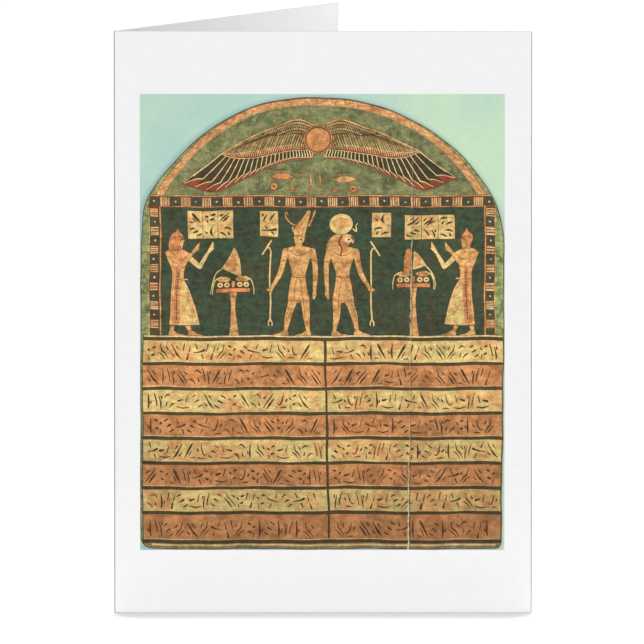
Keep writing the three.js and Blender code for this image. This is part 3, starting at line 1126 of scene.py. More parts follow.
def partition(drawing):
    """Cuts the flat picture into triangles along every outline. Each has the ink of the last one over it."""
    outlines = []
    for number, outline in enumerate(drawing.outlines):
        outline = counterclockwise(outline)
        if number:
            outline = by_hand(filled_in(outline))
        outlines.append(np.roll(outline, -int(np.argmin(outline[:, 0])), axis=0))
    counts = [len(outline) for outline in outlines]
    firsts = np.cumsum([0] + counts[:-1])
    faces = [list(range(first, first + count)) for first, count in zip(firsts, counts)]
    points = [Vector(point) for point in np.vstack(outlines).tolist()]
    places, _, triangles, _, _, over = delaunay_2d_cdt(points, [], faces, 1, MERGE_DISTANCE, True)
    inside = [0 in found for found in over]
    top = np.array([max(found) for found, kept in zip(over, inside) if kept])
    corners = np.array([triangle[:] for triangle, kept in zip(triangles, inside) if kept])
    used, corners = np.unique(corners, return_inverse=True)
    return np.array([place[:] for place in places])[used], corners.reshape(-1, 3), top


def shade_beside_tablet(points):
    """How much of the tablet's soft shadow falls on each point. It fades with the distance from the outline,
    which is shifted to the left and down: f * f * (3 - 2 f), where f falls from 1 to 0."""
    outline = filled_in(tablet_outline(), 1.5) + SHADE_SHIFT
    side = np.roll(outline, -1, axis=0) - outline
    squared = np.einsum("sk,sk->s", side, side)
    shares = np.einsum("psk,sk->ps", points[:, None] - outline[None], side) / squared
    nearest = outline[None] + np.clip(shares, 0, 1)[..., None] * side[None]
    distance = np.linalg.norm(points[:, None] - nearest, axis=2).min(axis=1)
    fade = np.clip(1 - distance / SHADE_REACH, 0, 1)
    return fade**2 * (3 - 2 * fade)


# Materials.


class Nodes:
    """Short ways to add nodes to a tree. A value given to them is a number, a colour or a node's output."""

    def __init__(self, tree):
        self.tree = tree

    def put(self, target, value):
        if isinstance(value, bpy.types.NodeSocket):
            self.tree.links.new(value, target)
        else:
            target.default_value = value

    def math(self, operation, first, second=0.0, third=0.0, clamp=False):
        node = self.tree.nodes.new("ShaderNodeMath")
        node.operation = operation
        node.use_clamp = clamp
        for target, value in zip(node.inputs, (first, second, third)):
            self.put(target, value)
        return node.outputs[0]

    def stretched(self, place, factors):
        """The place with each direction multiplied, which makes a pattern longer or shorter that way."""
        node = self.tree.nodes.new("ShaderNodeVectorMath")
        node.operation = "MULTIPLY"
        self.put(node.inputs[0], place)
        self.put(node.inputs[1], factors)
        return node.outputs[0]

    def noise(self, place, scale, detail=3.0, roughness=0.55, distortion=0.0):
        node = self.tree.nodes.new("ShaderNodeTexNoise")
        given = {"Vector": place, "Scale": scale, "Detail": detail, "Roughness": roughness,
                 "Distortion": distortion}
        for name, value in given.items():
            self.put(node.inputs[name], value)
        return node.outputs["Fac"]

    def span(self, value, low, high, start=0.0, end=1.0):
        """The value's place between low and high, smoothed, as a number from start to end."""
        node = self.tree.nodes.new("ShaderNodeMapRange")
        node.interpolation_type = "SMOOTHSTEP"
        given = {"Value": value, "From Min": low, "From Max": high, "To Min": start, "To Max": end}
        for name, number in given.items():
            self.put(node.inputs[name], number)
        return node.outputs[0]

    def mix(self, share, first, second):
        node = self.tree.nodes.new("ShaderNodeMix")
        node.data_type = "RGBA"
        for target, value in ((0, share), (6, first), (7, second)):
            self.put(node.inputs[target], value)
        return node.outputs[2]

    def scaled(self, tone, factor):
        """A colour made stronger or weaker."""
        node = self.tree.nodes.new("ShaderNodeVectorMath")
        node.operation = "SCALE"
        self.put(node.inputs[0], tone)
        self.put(node.inputs["Scale"], factor)
        return node.outputs[0]

    def parts(self, place):
        node = self.tree.nodes.new("ShaderNodeSeparateXYZ")
        self.put(node.inputs[0], place)
        return node.outputs

    def group(self, name, given):
        """A shared group of nodes with its inputs filled in."""
        node = self.tree.nodes.new("ShaderNodeGroup")
        node.node_tree = bpy.data.node_groups[name]
        for label, value in given.items():
            self.put(node.inputs[label], value)
        return node.outputs


def node_group(name, inputs, outputs):
    """A group with its sockets and no more. Returns the short ways to fill it, its inputs and its outputs."""
    tree = bpy.data.node_groups.new(name, "ShaderNodeTree")
    for kind, label, default in inputs:
        socket = tree.interface.new_socket(name=label, in_out="INPUT", socket_type=kind)
        if default is not None:
            socket.default_value = default
    for kind, label in outputs:
        tree.interface.new_socket(name=label, in_out="OUTPUT", socket_type=kind)
    given = tree.nodes.new("NodeGroupInput")
    result = tree.nodes.new("NodeGroupOutput")
    return Nodes(tree), given.outputs, result.inputs


def add_paper_grain():
    """Fine tooth of the board's surface: two sizes of noise, as a height and as a faint change of tone."""
    make, given, result = node_group(
        "Paper grain", [("NodeSocketVector", "Place", None)],
        [("NodeSocketFloat", "Height"), ("NodeSocketFloat", "Tone")])
    tooth = make.noise(given["Place"], 5200.0, 4.0, 0.6)
    cloud = make.noise(given["Place"], 260.0, 4.0, 0.6)
    make.put(result["Height"], make.math("MULTIPLY_ADD", cloud, 0.5, tooth))
    tone = make.math("MULTIPLY_ADD", tooth, 0.04, 0.95)
    make.put(result["Tone"], make.math("MULTIPLY_ADD", cloud, 0.06, tone))


def add_crack(corner_x, corner_z):
    """A long upright crack that wanders as it goes down, and is wider at the figures and near the foot: its
    pale broken edge, and the dark gap beside it."""
    make, given, result = node_group(
        "Crack", [("NodeSocketVector", "Place", None)],
        [("NodeSocketFloat", "Pale"), ("NodeSocketFloat", "Dark")])
    across, _, up = make.parts(given["Place"])
    level = make.stretched(given["Place"], (0.0, 0.0, 1.0))
    wander = make.noise(level, 160.0, 3.0, 0.6)
    share = make.math("DIVIDE", make.math("SUBTRACT", up, corner_z), PICTURE_HEIGHT * MM)
    run = make.math("MULTIPLY_ADD", share, CRACK_LEAN * MM, corner_x + CRACK_FROM_LEFT * MM)
    offset = make.math("SUBTRACT", across, make.math("MULTIPLY_ADD", wander, CRACK_WANDER * MM, run))
    breaks = make.span(make.noise(level, 420.0, 2.0, 0.5), 0.32, 0.6)
    low_part = make.span(share, 0.34, 0.02)
    scene_part = make.math("MULTIPLY", make.span(share, 0.46, 0.5), make.span(share, 0.72, 0.66))
    fullness = make.math("MULTIPLY_ADD", low_part, CRACK_WIDENS * MM, CRACK_WIDTH * MM)
    fullness = make.math("MULTIPLY_ADD", scene_part, CRACK_WIDENS * MM, fullness)
    width = make.math("MULTIPLY", fullness, breaks)
    outside, inside = make.math("MULTIPLY", width, 1.5), make.math("MULTIPLY", width, 0.6)
    line = make.span(make.math("ABSOLUTE", offset), outside, inside)
    low_strength = make.math("MULTIPLY_ADD", low_part, 0.6, 0.3)
    strength = make.math("MAXIMUM", low_strength, make.math("MULTIPLY", scene_part, 0.6))
    make.put(result["Pale"], make.math("MULTIPLY", line, strength))
    gap = make.math("ABSOLUTE", make.math("SUBTRACT", offset, CRACK_GAP * MM))
    make.put(result["Dark"], make.math("MULTIPLY", make.span(gap, 0.3 * MM, 0.06 * MM), strength))


def add_worn_paint(corner_z):
    """Old paint as a printed photograph shows it: patches of a second tone, cloudy and streaky strength that
    weakens towards the foot, pale scuffs, the crack, and film grain."""
    make, given, result = node_group(
        "Worn paint",
        [("NodeSocketVector", "Place", None), ("NodeSocketColor", "Paint", (0.5, 0.5, 0.5, 1)),
         ("NodeSocketColor", "Patch", (0.5, 0.3, 0.2, 1)), ("NodeSocketFloat", "Patches", 0.4),
         ("NodeSocketFloat", "Patch scale", 300.0), ("NodeSocketFloat", "Unevenness", 0.3),
         ("NodeSocketColor", "Scuff", (0.6, 0.6, 0.5, 1)), ("NodeSocketFloat", "Scuffs", 0.2)],
        [("NodeSocketColor", "Color")])
    place = given["Place"]
    patchy = make.span(make.noise(place, given["Patch scale"], 5.0, 0.68, 0.5), 0.4, 0.64)
    tone = make.mix(make.math("MULTIPLY", patchy, given["Patches"]), given["Paint"], given["Patch"])
    cloud = make.span(make.noise(place, 640.0, 5.0, 0.72, 0.3), 0.3, 0.7, -0.5, 0.5)
    across = make.stretched(place, (0.2, 1.0, 1.0))
    streak = make.span(make.noise(across, 800.0, 4.0, 0.65), 0.3, 0.7, -0.3, 0.3)
    slow = make.span(make.noise(place, 60.0, 3.0, 0.6), 0.3, 0.7, -0.2, 0.2)
    uneven = make.math("ADD", make.math("ADD", cloud, streak), slow)
    age = make.span(make.parts(place)[2], corner_z, corner_z + 60 * MM, 0.65, 1.0)
    strength = make.math("MULTIPLY", make.math("MULTIPLY_ADD", uneven, given["Unevenness"], 1.0), age)
    tone = make.scaled(tone, strength)
    edge = make.math("MULTIPLY_ADD", given["Scuffs"], -0.13, 0.62)
    worn = make.span(make.noise(place, 520.0, 7.0, 0.78, 0.8), edge, make.math("ADD", edge, 0.12))
    tone = make.mix(make.math("MULTIPLY", worn, given["Scuffs"]), tone, given["Scuff"])
    crack = make.group("Crack", {"Place": place})
    tone = make.mix(crack["Dark"], tone, (0.035, 0.026, 0.012, 1))
    tone = make.mix(crack["Pale"], tone, (0.6, 0.52, 0.33, 1))
    film = make.span(make.noise(place, 2600.0, 3.0, 0.7), 0.25, 0.75, 0.86, 1.14)
    make.put(result["Color"], make.scaled(tone, film))


def new_material(name, roughness, shine=0.2):
    """A material with its nodes. Returns it, the short ways to add nodes to it, and its shader."""
    material = bpy.data.materials.new(name)
    material.use_nodes = True
    shader = material.node_tree.nodes["Principled BSDF"]
    shader.inputs["Roughness"].default_value = roughness
    shader.inputs["Specular IOR Level"].default_value = shine
    return material, Nodes(material.node_tree), shader


def add_grain(make, shader, place, strength):
    """Roughens a material with the board's tooth. Returns the tooth's change of tone."""
    grain = make.group("Paper grain", {"Place": place})
    bump = make.tree.nodes.new("ShaderNodeBump")
    bump.inputs["Strength"].default_value = strength
    bump.inputs["Distance"].default_value = 0.02 * MM
    make.put(bump.inputs["Height"], grain["Height"])
    make.put(shader.inputs["Normal"], bump.outputs[0])
    return grain["Tone"]


def rgba(values):
    """A colour with full alpha, as node inputs take it."""
    return (*values[:3], 1.0)


def board_material(name, tone, roughness, bump):
    """Board: a faint cloudy tone, a fine tooth and a grey band of painted shade along the fold, where the
    bend turns away from the light. They are laid out on the flat sheet, whose middle is the fold, so that
    they stay put as it turns."""
    material, make, shader = new_material(name, roughness)
    flat = make.tree.nodes.new("ShaderNodeUVMap")
    flat.uv_map = "sheet"
    metres = make.scaled(flat.outputs[0], SHEET_UV_SPAN)
    cloudy = add_grain(make, shader, metres, bump)
    from_fold = make.math("ABSOLUTE", make.math("SUBTRACT", make.parts(metres)[0], SHEET_UV_SPAN / 2))
    # Painted shade: the board darkens to about a quarter of its tone across the middle of the fold's bend,
    # and is full again a quarter millimetre out.
    painted_fold_shade = make.span(from_fold, 0.12 * MM, 0.25 * MM, 0.24, 1.0)
    make.put(shader.inputs["Base Color"], make.scaled(tuple(tone), make.math("MULTIPLY", cloudy, painted_fold_shade)))
    return material


SCUFF = linear(196, 190, 142)


def ink_material(name, paint, patch, patches, scale, unevenness, scuffs):
    """An ink of the picture: worn paint of one colour with patches of another, on the board's tooth."""
    material, make, shader = new_material(name, 0.55)
    place = make.tree.nodes.new("ShaderNodeTexCoord").outputs["Object"]
    worn = make.group("Worn paint", {
        "Place": place, "Paint": rgba(paint), "Patch": rgba(patch), "Patches": patches, "Patch scale": scale,
        "Unevenness": unevenness, "Scuff": rgba(SCUFF), "Scuffs": scuffs})
    add_grain(make, shader, place, 0.12)
    make.put(shader.inputs["Base Color"], worn["Color"])
    return material


def backdrop_material(colours, corner_x):
    """Pale backdrop, cooler to the left, with specks, and with the tablet's shadow from an attribute."""
    material, make, shader = new_material("backdrop_ink", 0.55)
    place = make.tree.nodes.new("ShaderNodeTexCoord").outputs["Object"]
    middle = corner_x + PICTURE_WIDTH * MM / 2
    cool = make.span(make.parts(place)[0], middle + 32 * MM, middle - 8 * MM, 0.1, 0.9)
    cloud = make.span(make.noise(place, 42.0, 3.0, 0.6), 0.3, 0.7, -0.3, 0.3)
    cool = make.math("ADD", cool, cloud, clamp=True)
    tone = make.mix(cool, rgba(colours.backdrop), rgba(colours.backdrop_cool))
    shade = make.tree.nodes.new("ShaderNodeAttribute")
    shade.attribute_name = "tablet_shade"
    tone = make.mix(make.math("MULTIPLY", shade.outputs["Fac"], 0.7), tone, rgba(colours.backdrop_shade))
    speck = make.span(make.noise(place, 300.0, 2.0, 0.5), 0.74, 0.8)
    tone = make.mix(make.math("MULTIPLY", speck, 0.5), tone, rgba(colours.backdrop_shade))
    film = make.span(make.noise(place, 2600.0, 3.0, 0.7), 0.25, 0.75, 0.93, 1.07)
    make.put(shader.inputs["Base Color"], make.scaled(tone, film))
    add_grain(make, shader, place, 0.12)
    return material


# Each ink's paint and the colour of its patches, how much of the patches shows, their scale, how uneven the
# paint is, and how much it is scuffed.
INK_LOOKS = {
    "rim_green": ("rim_green", "arch_shade", 0.7, 420.0, 0.7, 0.6),
    "rim_wood": ("rim_wood", "band_stain", 0.6, 420.0, 0.7, 0.4),
    "arch_green": ("arch_green", "arch_shade", 0.8, 230.0, 0.6, 0.6),
    "field_green": ("field_green", "outline", 0.3, 130.0, 0.7, 0.12),
    "feather": ("feather_green", "outline", 0.5, 260.0, 0.6, 0.1),
    "covert": ("covert_green", "feather_green", 0.6, 420.0, 0.6, 0.15),
    "gold": ("gold", "band_stain", 0.8, 420.0, 0.6, 0.2),
    "pale_gold": ("pale_gold", "gold", 0.7, 420.0, 0.5, 0.1),
    "label": ("cream_band", "orange_band", 0.8, 260.0, 0.6, 0.1),
    "skirt": ("cream_band", "orange_band", 1.0, 240.0, 0.7, 0.1),
    "robe": ("gold", "orange_band", 1.0, 240.0, 0.7, 0.1),
    "wig": ("orange_band", "red_line", 0.65, 420.0, 0.6, 0.1),
    "table_red": ("orange", "red_line", 0.6, 420.0, 0.5, 0.12),
    "ochre": ("ochre", "band_stain", 0.5, 420.0, 0.6, 0.3),
    "arch_mark": ("orange", "red_line", 0.35, 420.0, 0.6, 0.2),
    "orange": ("orange", "red_line", 0.5, 420.0, 0.5, 0.15),
    "disc": ("orange_band", "band_stain", 0.6, 240.0, 0.6, 0.15),
    "red": ("red", "red_line", 0.6, 420.0, 0.5, 0.1),
    "border_red": ("red_line", "gold", 0.45, 420.0, 0.5, 0.15),
    "red_line": ("red_line", "outline", 0.5, 420.0, 0.5, 0.1),
    "outline": ("outline", "rule_line", 0.5, 420.0, 0.4, 0.08),
    "cream_line": ("cream_line", "gold", 0.7, 420.0, 0.6, 0.0),
    "stripe": ("cream_line", "ochre", 0.5, 420.0, 0.4, 0.0),
    "cream_band": ("cream_band", "orange_band", 0.8, 140.0, 0.55, 0.12),
    "orange_band": ("orange_band", "band_stain", 0.8, 170.0, 0.5, 0.2),
    "rule": ("rule_line", "border_dark", 0.5, 420.0, 0.5, 0.15),
    "stroke": ("stroke", "rule_line", 0.5, 420.0, 0.5, 0.12),
    "faint_stroke": ("outline", "red_line", 0.8, 420.0, 0.6, 0.4),
    "border_dark": ("border_dark", "outline", 0.5, 420.0, 0.5, 0.1),
    "pale_spot": ("pale_spot", "cream_line", 0.5, 420.0, 0.4, 0.0),
}


def picture_materials(colours, corner_x):
    """Each ink by name, in the order of the picture's material slots."""
    inks = {"backdrop": backdrop_material(colours, corner_x)}
    for name, (paint, patch, *look) in INK_LOOKS.items():
        inks[name] = ink_material(name + "_ink", getattr(colours, paint), getattr(colours, patch), *look)
    return inks


# The folded sheet of board.

# The flat sheet's map covers a square of this side, in metres.
SHEET_UV_SPAN = 0.3
ARC_STEPS = 20
EDGE_STEPS = 6

# Distances from the fold and from a free edge at which a leaf has an edge loop, in metres.
NEAR_FOLD = np.array([0.0, 0.25, 0.55, 0.9, 1.4, 2.2, 3.5, 5.5]) * MM
NEAR_FREE_EDGE = np.array([5.0, 2.5, 1.2, 0.5, 0.0]) * MM
NEAR_CUT_EDGE = np.array([0.5, 1.2, 2.5, 8.0]) * MM


def finish_mesh(name, vertices, faces, slots, materials, smooth_angle):
    """A new object of these points and faces, at the origin, smooth where faces meet within an angle."""
    mesh = bpy.data.meshes.new(name)
    mesh.from_pydata(vertices, [], faces)
    for material in materials:
        mesh.materials.append(material)
    mesh.polygons.foreach_set("material_index", np.asarray(slots, np.int32))
    mesh.shade_smooth()
    mesh.set_sharp_from_angle(angle=smooth_angle)
    mesh.update()
    made = bpy.data.objects.new(name, mesh)
    bpy.context.scene.collection.objects.link(made)
    return made


def sheet_section(half, stations, middle_radius, edge_centre):
    """The folded sheet seen from above as a closed loop round its thickness, which is twice half.

    A leaf is a straight line at the middle radius from the fold's axis, with a face half a thickness to each
    side. The fold is an arc about the axis from one leaf to the other. Each free edge is a half circle.
    Returns the loop's points and the distance of each along the flattened sheet."""
    away = np.array([-math.sin(OPENING), math.cos(OPENING)])
    along_back = np.array([math.cos(OPENING), math.sin(OPENING)])
    along_front = np.array([1.0, 0.0])
    arc = np.linspace(-math.pi / 2, OPENING - 1.5 * math.pi, ARC_STEPS + 1)[1:-1]
    around = np.stack([np.cos(arc), np.sin(arc)], 1)
    bend = middle_radius * (math.pi - OPENING)
    arc_run = np.linspace(-bend / 2, bend / 2, ARC_STEPS + 1)[1:-1]
    stations = np.asarray(stations)[:, None]

    def face(radius):
        front = stations[::-1] * along_front + (0.0, -radius)
        back = stations * along_back + radius * away
        return np.vstack([front, radius * around, back])

    run = np.concatenate([-bend / 2 - stations[::-1, 0], arc_run, bend / 2 + stations[:, 0]])
    turn = np.linspace(0, math.pi, EDGE_STEPS + 1)[1:-1, None]
    back_centre = edge_centre * along_back + middle_radius * away
    back_end = back_centre + half * (np.cos(turn) * away + np.sin(turn) * along_back)
    front_centre = edge_centre * along_front + (0.0, -middle_radius)
    front_end = front_centre + half * (np.cos(turn) * (0.0, 1.0) + np.sin(turn) * along_front)
    outer, inner = face(middle_radius + half), face(middle_radius - half)
    loop = np.vstack([outer, back_end, inner[::-1], front_end])
    ends = np.full(EDGE_STEPS - 1, run[-1] + half)
    return loop, np.concatenate([run, ends, run[::-1], -ends])


def sheet_rows(sizes, half):
    """Levels up the card, each with half the board's thickness there. A half circle closes it at both ends.
    Returns them, how many belong to one end's half circle, and which one is at the picture's foot."""
    lean = np.radians([0, 30, 55, 75])
    low_rows = [(half * (1 - math.sin(a)), half * math.cos(a)) for a in lean[::-1]]
    high_rows = [(LEAF_HEIGHT - level, thick) for level, thick in low_rows[::-1]]
    picture_low = sizes.picture_bottom
    picture_high = picture_low + sizes.picture_height
    middle_levels = [*NEAR_CUT_EDGE, picture_low, picture_high, *(LEAF_HEIGHT - NEAR_CUT_EDGE[::-1])]
    rows = low_rows + [(level, half) for level in middle_levels] + high_rows
    return rows, len(low_rows), len(low_rows) + len(NEAR_CUT_EDGE)


def sheet_ends(per_row, side, last):
    """Faces that close the loft at the bottom and the top: strips between the outer and the inner face, and
    the tips of the two free edges. The last row of points starts at last."""
    step = np.arange(side - 1)
    inner = 2 * side + EDGE_STEPS - 2 - step
    bottom = np.stack([step, step + 1, inner - 1, inner], 1)
    top = bottom[:, ::-1] + last
    back_tip = list(range(side - 1, side + EDGE_STEPS))
    front_tip = list(range(2 * side + EDGE_STEPS - 2, per_row)) + [0]
    tips = [back_tip, front_tip]
    return bottom.tolist() + top.tolist() + tips + [[last + n for n in tip[::-1]] for tip in tips]


def build_sheet(sizes, colours):
    """Carries the section up the card's height. Its thickness closes as a half circle at both ends."""
    half = sizes.board_thickness / 2
    middle = FOLD_OUTSIDE_RADIUS - half
    edge_centre = LEAF_REACH - half
    leaf_start = FOLD_AXIS[0] - FOLD_OUTSIDE_RADIUS
    picture_near = leaf_start + sizes.picture_left - FOLD_AXIS[0]
    picture_far = picture_near + sizes.picture_width
    stations = np.concatenate([NEAR_FOLD, [picture_near, picture_far], edge_centre - NEAR_FREE_EDGE])

    rows, rounded, picture_row = sheet_rows(sizes, half)
    loops, runs = zip(*(sheet_section(thick, stations, middle, edge_centre) for _, thick in rows))
    per_row = len(loops[0])
    levels = np.repeat([level for level, _ in rows], per_row)
    flat = np.vstack(loops) + FOLD_AXIS
    vertices = np.column_stack([flat, levels])
    run = np.concatenate(runs)

    column = np.arange(per_row)
    following = (column + 1) % per_row
    row = np.arange(len(rows) - 1)[:, None] * per_row
    corners = [row + column, row + per_row + column, row + per_row + following, row + following]
    quads = np.stack(corners, -1).reshape(-1, 4)
    side = 2 * len(stations) + ARC_STEPS - 1
    back_edge = (column >= side - 1) & (column < side + EDGE_STEPS - 1)
    free_edge = back_edge | (column >= 2 * side + EDGE_STEPS - 2)
    number = np.arange(len(rows) - 1)
    cut_row = (number < rounded - 1) | (number > len(rows) - 1 - rounded)
    slots = np.where(cut_row[:, None], 1, np.where(free_edge, 2, 0)).ravel()

    # The cell behind the picture is opened, and a shallow tray takes its place.
    hole = picture_row * per_row + len(NEAR_FREE_EDGE)
    rim = quads[hole]
    keep = np.arange(len(quads)) != hole
    tray = vertices[rim] + (0.0, sizes.picture_depth, 0.0)
    first = len(vertices)
    floor = [first + n for n in range(4)]
    walls = [[int(rim[n]), int(rim[(n + 1) % 4]), floor[(n + 1) % 4], floor[n]] for n in range(4)]
    vertices = np.vstack([vertices, tray])
    run = np.concatenate([run, run[rim]])

    caps = sheet_ends(per_row, side, (len(rows) - 1) * per_row)
    faces = quads[keep].tolist() + walls + [floor] + caps
    slots = slots[keep].tolist() + [0] * 5 + [1] * len(caps)
    # The third material paints shade: it is board in a dark grey, on the cut edge opposite the fold.
    materials = [board_material("white_board", colours.board, 0.58, 0.16),
                 board_material("cut_edge", colours.cut_edge, 0.8, 0.6),
                 board_material("fore_edge", colours.fore_edge, 0.8, 0.6)]
    made = finish_mesh("folded_board", vertices.tolist(), faces, slots, materials, math.radians(50))
    mesh = made.data
    corner = np.empty(len(mesh.loops), np.int32)
    mesh.loops.foreach_get("vertex_index", corner)
    sheet_map = mesh.uv_layers.new(name="sheet")
    place = np.column_stack([run + SHEET_UV_SPAN / 2, vertices[:, 2]]) / SHEET_UV_SPAN
    sheet_map.uv.foreach_set("vector", place[corner].astype(np.float32).ravel())
    return made


# The printed picture as a thin layer, flush in a tray in the board. It is a little thinner than the tray is
# deep. Its face takes nearly all of its map, and its walls and back a strip at the foot.

DEPTH_IN_TRAY = 0.96
FACE_SHARE = 0.985
HIDDEN_SHARE = 0.004


def border_sides(triangles):
    """Start and end of each side that no other triangle shares, in the direction its triangle goes round."""
    sides = np.vstack([triangles[:, [0, 1]], triangles[:, [1, 2]], triangles[:, [2, 0]]])
    count = triangles.max() + 1
    there = sides[:, 0] * count + sides[:, 1]
    back = sides[:, 1] * count + sides[:, 0]
    return sides[~np.isin(there, back)].T


def build_picture(sizes, colours):
    """The cut-up drawing, flat in the board's outer face. Walls go straight back from its rim, and a fan of
    triangles round one middle point closes the back."""
    corner_x, corner_z = LEAF_LOW.x + sizes.picture_left, sizes.picture_bottom
    add_crack(corner_x, corner_z)
    add_worn_paint(corner_z)
    inks = picture_materials(colours, corner_x)
    drawing = draw_picture()
    points, triangles, top = partition(drawing)
    names = list(inks)
    slot_of_outline = np.array([names.index(ink) for ink in drawing.inks])
    slots = slot_of_outline[top]

    scale = (sizes.picture_width / PICTURE_WIDTH, sizes.picture_height / PICTURE_HEIGHT)
    side_start, side_end = border_sides(triangles)
    rim = np.unique(side_start)
    front = np.column_stack([corner_x + points[:, 0] * scale[0], np.full(len(points), FRONT_FACE_Y),
                             corner_z + points[:, 1] * scale[1]])
    back = front[rim] + (0.0, sizes.picture_depth * DEPTH_IN_TRAY, 0.0)
    vertices = np.vstack([front, back, back.mean(axis=0)])
    behind = np.full(len(front), len(vertices) - 1)
    behind[rim] = len(front) + np.arange(len(rim))
    walls = np.stack([side_start, behind[side_start], behind[side_end], side_end], 1)
    fan = np.stack([behind[side_end], behind[side_start], np.full(len(side_start), len(vertices) - 1)], 1)
    faces = triangles.tolist() + walls.tolist() + fan.tolist()
    slots = slots.tolist() + [0] * (len(walls) + len(fan))
    made = finish_mesh("printed_picture", vertices.tolist(), faces, slots, inks.values(), math.radians(30))

    mesh = made.data
    shade = np.concatenate([shade_beside_tablet(points), np.zeros(len(rim) + 1)])
    mesh.attributes.new("tablet_shade", "FLOAT", "POINT").data.foreach_set("value", shade.astype(np.float32))
    corner = np.empty(len(mesh.loops), np.int32)
    mesh.loops.foreach_get("vertex_index", corner)
    own = np.vstack([points, points[rim], points[rim].mean(axis=0)]) / (PICTURE_WIDTH, PICTURE_HEIGHT)
    own = own * FACE_SHARE + (1 - FACE_SHARE) / 2
    place = own[corner]
    hidden = np.arange(len(corner)) >= 3 * len(triangles)
    place[hidden] = place[hidden] * (1.0, HIDDEN_SHARE)
    baked = mesh.uv_layers.new(name="OFBake")
    baked.uv.foreach_set("vector", place.astype(np.float32).ravel())
    return made


class CARD_OT_board(bpy.types.Operator):
    """Make the folded sheet of white board"""

    bl_idname = "card.make_board"
    bl_label = "Folded board"

    def execute(self, context):
        scene = context.scene
        board = build_sheet(scene.card_sizes, scene.card_colours)
        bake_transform(board)
        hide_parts("front_leaf", "back_leaf")
        return {"FINISHED"}


class CARD_OT_picture(bpy.types.Operator):
    """Make the printed picture on the front leaf"""

    bl_idname = "card.make_picture"
    bl_label = "Printed picture"

    def execute(self, context):
        scene = context.scene
        picture = build_picture(scene.card_sizes, scene.card_colours)
        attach(picture, "front")
        return {"FINISHED"}


FLOOR_REACH = 30.0
STRIP_WIDTH = 0.32

# Near lights, in metres: name, setting, width and height, place, and the point that it faces.
PANELS = (
    ("side_softbox", "side_light", (0.05, 0.05), (0.07, 0.045, 0.225), (0.0, 0.045, 0.17)),
    ("foot_strip", "foot_light", (STRIP_WIDTH, 0.006), (0.0, FRONT_FACE_Y - 0.024, 0.004), (0.0, 0.0, 0.004)),
    ("contact_strip", "contact_light", (STRIP_WIDTH, 0.001), (0.0, FRONT_FACE_Y - 0.003, 0.001),
     (0.0, 0.0, 0.001)),
    ("floor_strip", "floor_light", (STRIP_WIDTH, 0.008), (0.0, FRONT_FACE_Y - 0.008, 0.008),
     (0.0, FRONT_FACE_Y - 0.008, 0.0)),
)

# Far lights, in degrees: name, setting, azimuth, elevation and softness. An azimuth of 0 is in front of the
# card, and 90 is at its right.
SUNS = (
    ("front_softbox", "front_light", 8.0, 24.0, 50.0),
    ("top_softbox", "top_light", 178.0, 85.2, 7.0),
)

# Where the camera looks, in metres from the middle of the front leaf.
AIM_ACROSS = -0.29 * MM
AIM_UP = 0.14 * MM


def add_light(name, kind, energy, away):
    """A light that shines against the direction given."""
    data = bpy.data.lights.new(name, kind)
    data.energy = energy
    light = bpy.data.objects.new(name, data)
    light.rotation_euler = Vector(away).to_track_quat("Z", "Y").to_euler()
    bpy.context.scene.collection.objects.link(light)
    return light


def add_floor(tone):
    """A plain matt floor, far wider than the view."""
    reach = FLOOR_REACH
    corners = [(-reach, -reach, 0), (reach, -reach, 0), (reach, reach, 0), (-reach, reach, 0)]
    plane = bpy.data.meshes.new("floor")
    plane.from_pydata(corners, [], [(0, 1, 2, 3)])
    floor = bpy.data.objects.new("floor", plane)
    bpy.context.scene.collection.objects.link(floor)
    material, _, shader = new_material("pale_floor", 0.9, 0.0)
    shader.inputs["Base Color"].default_value = rgba(tone)
    plane.materials.append(material)


def add_lights(settings):
    """Two far soft lights, the near panels, and an even light from all round."""
    for name, setting, azimuth, elevation, softness in SUNS:
        a, e = math.radians(azimuth), math.radians(elevation)
        away = (math.sin(a) * math.cos(e), -math.cos(a) * math.cos(e), math.sin(e))
        sun = add_light(name, "SUN", getattr(settings, setting), away)
        sun.data.angle = math.radians(softness)
    for name, setting, size, place, aim in PANELS:
        panel = add_light(name, "AREA", getattr(settings, setting), Vector(place) - Vector(aim))
        panel.location = place
        panel.data.shape = "RECTANGLE"
        panel.data.size, panel.data.size_y = size
        panel.visible_camera = False
    world = bpy.data.worlds.new("studio")
    world.use_nodes = True
    background = world.node_tree.nodes["Background"]
    background.inputs["Color"].default_value = (1, 1, 1, 1)
    background.inputs["Strength"].default_value = settings.sky
    bpy.context.scene.world = world


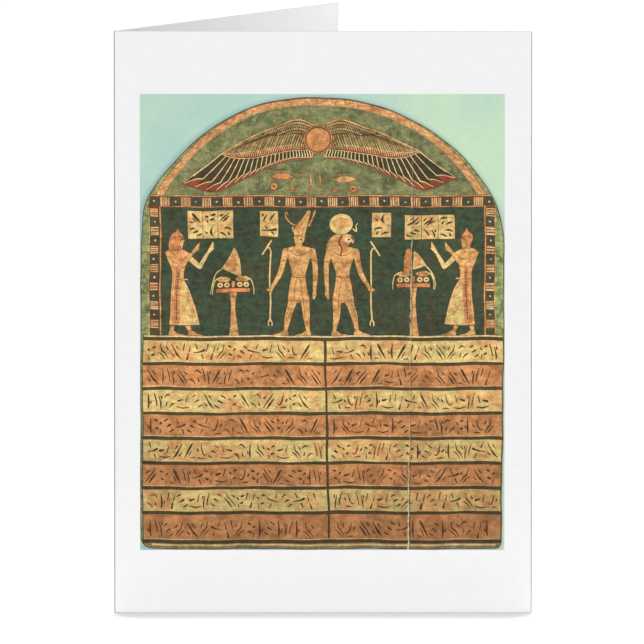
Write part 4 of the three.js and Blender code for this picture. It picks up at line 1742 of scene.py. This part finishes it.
def add_camera(settings):
    """A long lens that looks a little down on the front leaf."""
    data = bpy.data.cameras.new("camera")
    data.sensor_width = 36.0
    data.lens = data.sensor_width * settings.camera_distance / settings.view_width
    data.clip_end = 200.0
    camera = bpy.data.objects.new("camera", data)
    angle = settings.camera_height
    target = np.array([(LEAF_LOW.x + LEAF_HIGH.x) / 2 + AIM_ACROSS, FRONT_FACE_Y, LEAF_HEIGHT / 2 + AIM_UP])
    away = np.array([0.0, -math.cos(angle), math.sin(angle)])
    camera.location = target + settings.camera_distance * away
    camera.rotation_euler = (math.pi / 2 - angle, 0.0, 0.0)
    bpy.context.scene.collection.objects.link(camera)
    bpy.context.scene.camera = camera


class CARD_OT_stage(bpy.types.Operator):
    """Make the floor, the lights and the camera"""

    bl_idname = "card.make_stage"
    bl_label = "Studio"

    def execute(self, context):
        settings = context.scene.card_stage
        add_floor(settings.floor)
        add_lights(settings)
        add_camera(settings)
        context.scene.view_settings.view_transform = "Standard"
        return {"FINISHED"}


class CARD_PT_panel(bpy.types.Panel):
    """The card's pieces and settings"""

    bl_idname = "CARD_PT_panel"
    bl_label = "Folded greeting card"
    bl_space_type = "VIEW_3D"
    bl_region_type = "UI"
    bl_category = "Card"

    def draw(self, context):
        for operator in OPERATORS:
            self.layout.operator(operator.bl_idname)
        for group in (context.scene.card_sizes, context.scene.card_colours, context.scene.card_stage):
            for name in group.__annotations__:
                self.layout.prop(group, name)


OPERATORS = (CARD_OT_board, CARD_OT_picture, CARD_OT_stage)
CLASSES = (CardSizes, CardColours, StageSettings, *OPERATORS, CARD_PT_panel)


def register():
    for cls in CLASSES:
        bpy.utils.register_class(cls)
    bpy.types.Scene.card_sizes = PointerProperty(type=CardSizes)
    bpy.types.Scene.card_colours = PointerProperty(type=CardColours)
    bpy.types.Scene.card_stage = PointerProperty(type=StageSettings)


def unregister():
    del bpy.types.Scene.card_stage
    del bpy.types.Scene.card_colours
    del bpy.types.Scene.card_sizes
    for cls in reversed(CLASSES):
        bpy.utils.unregister_class(cls)


def main():
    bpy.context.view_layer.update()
    register()
    add_paper_grain()
    bpy.ops.card.make_board()
    bpy.ops.card.make_picture()
    bpy.ops.card.make_stage()


if __name__ == "__main__":
    main()
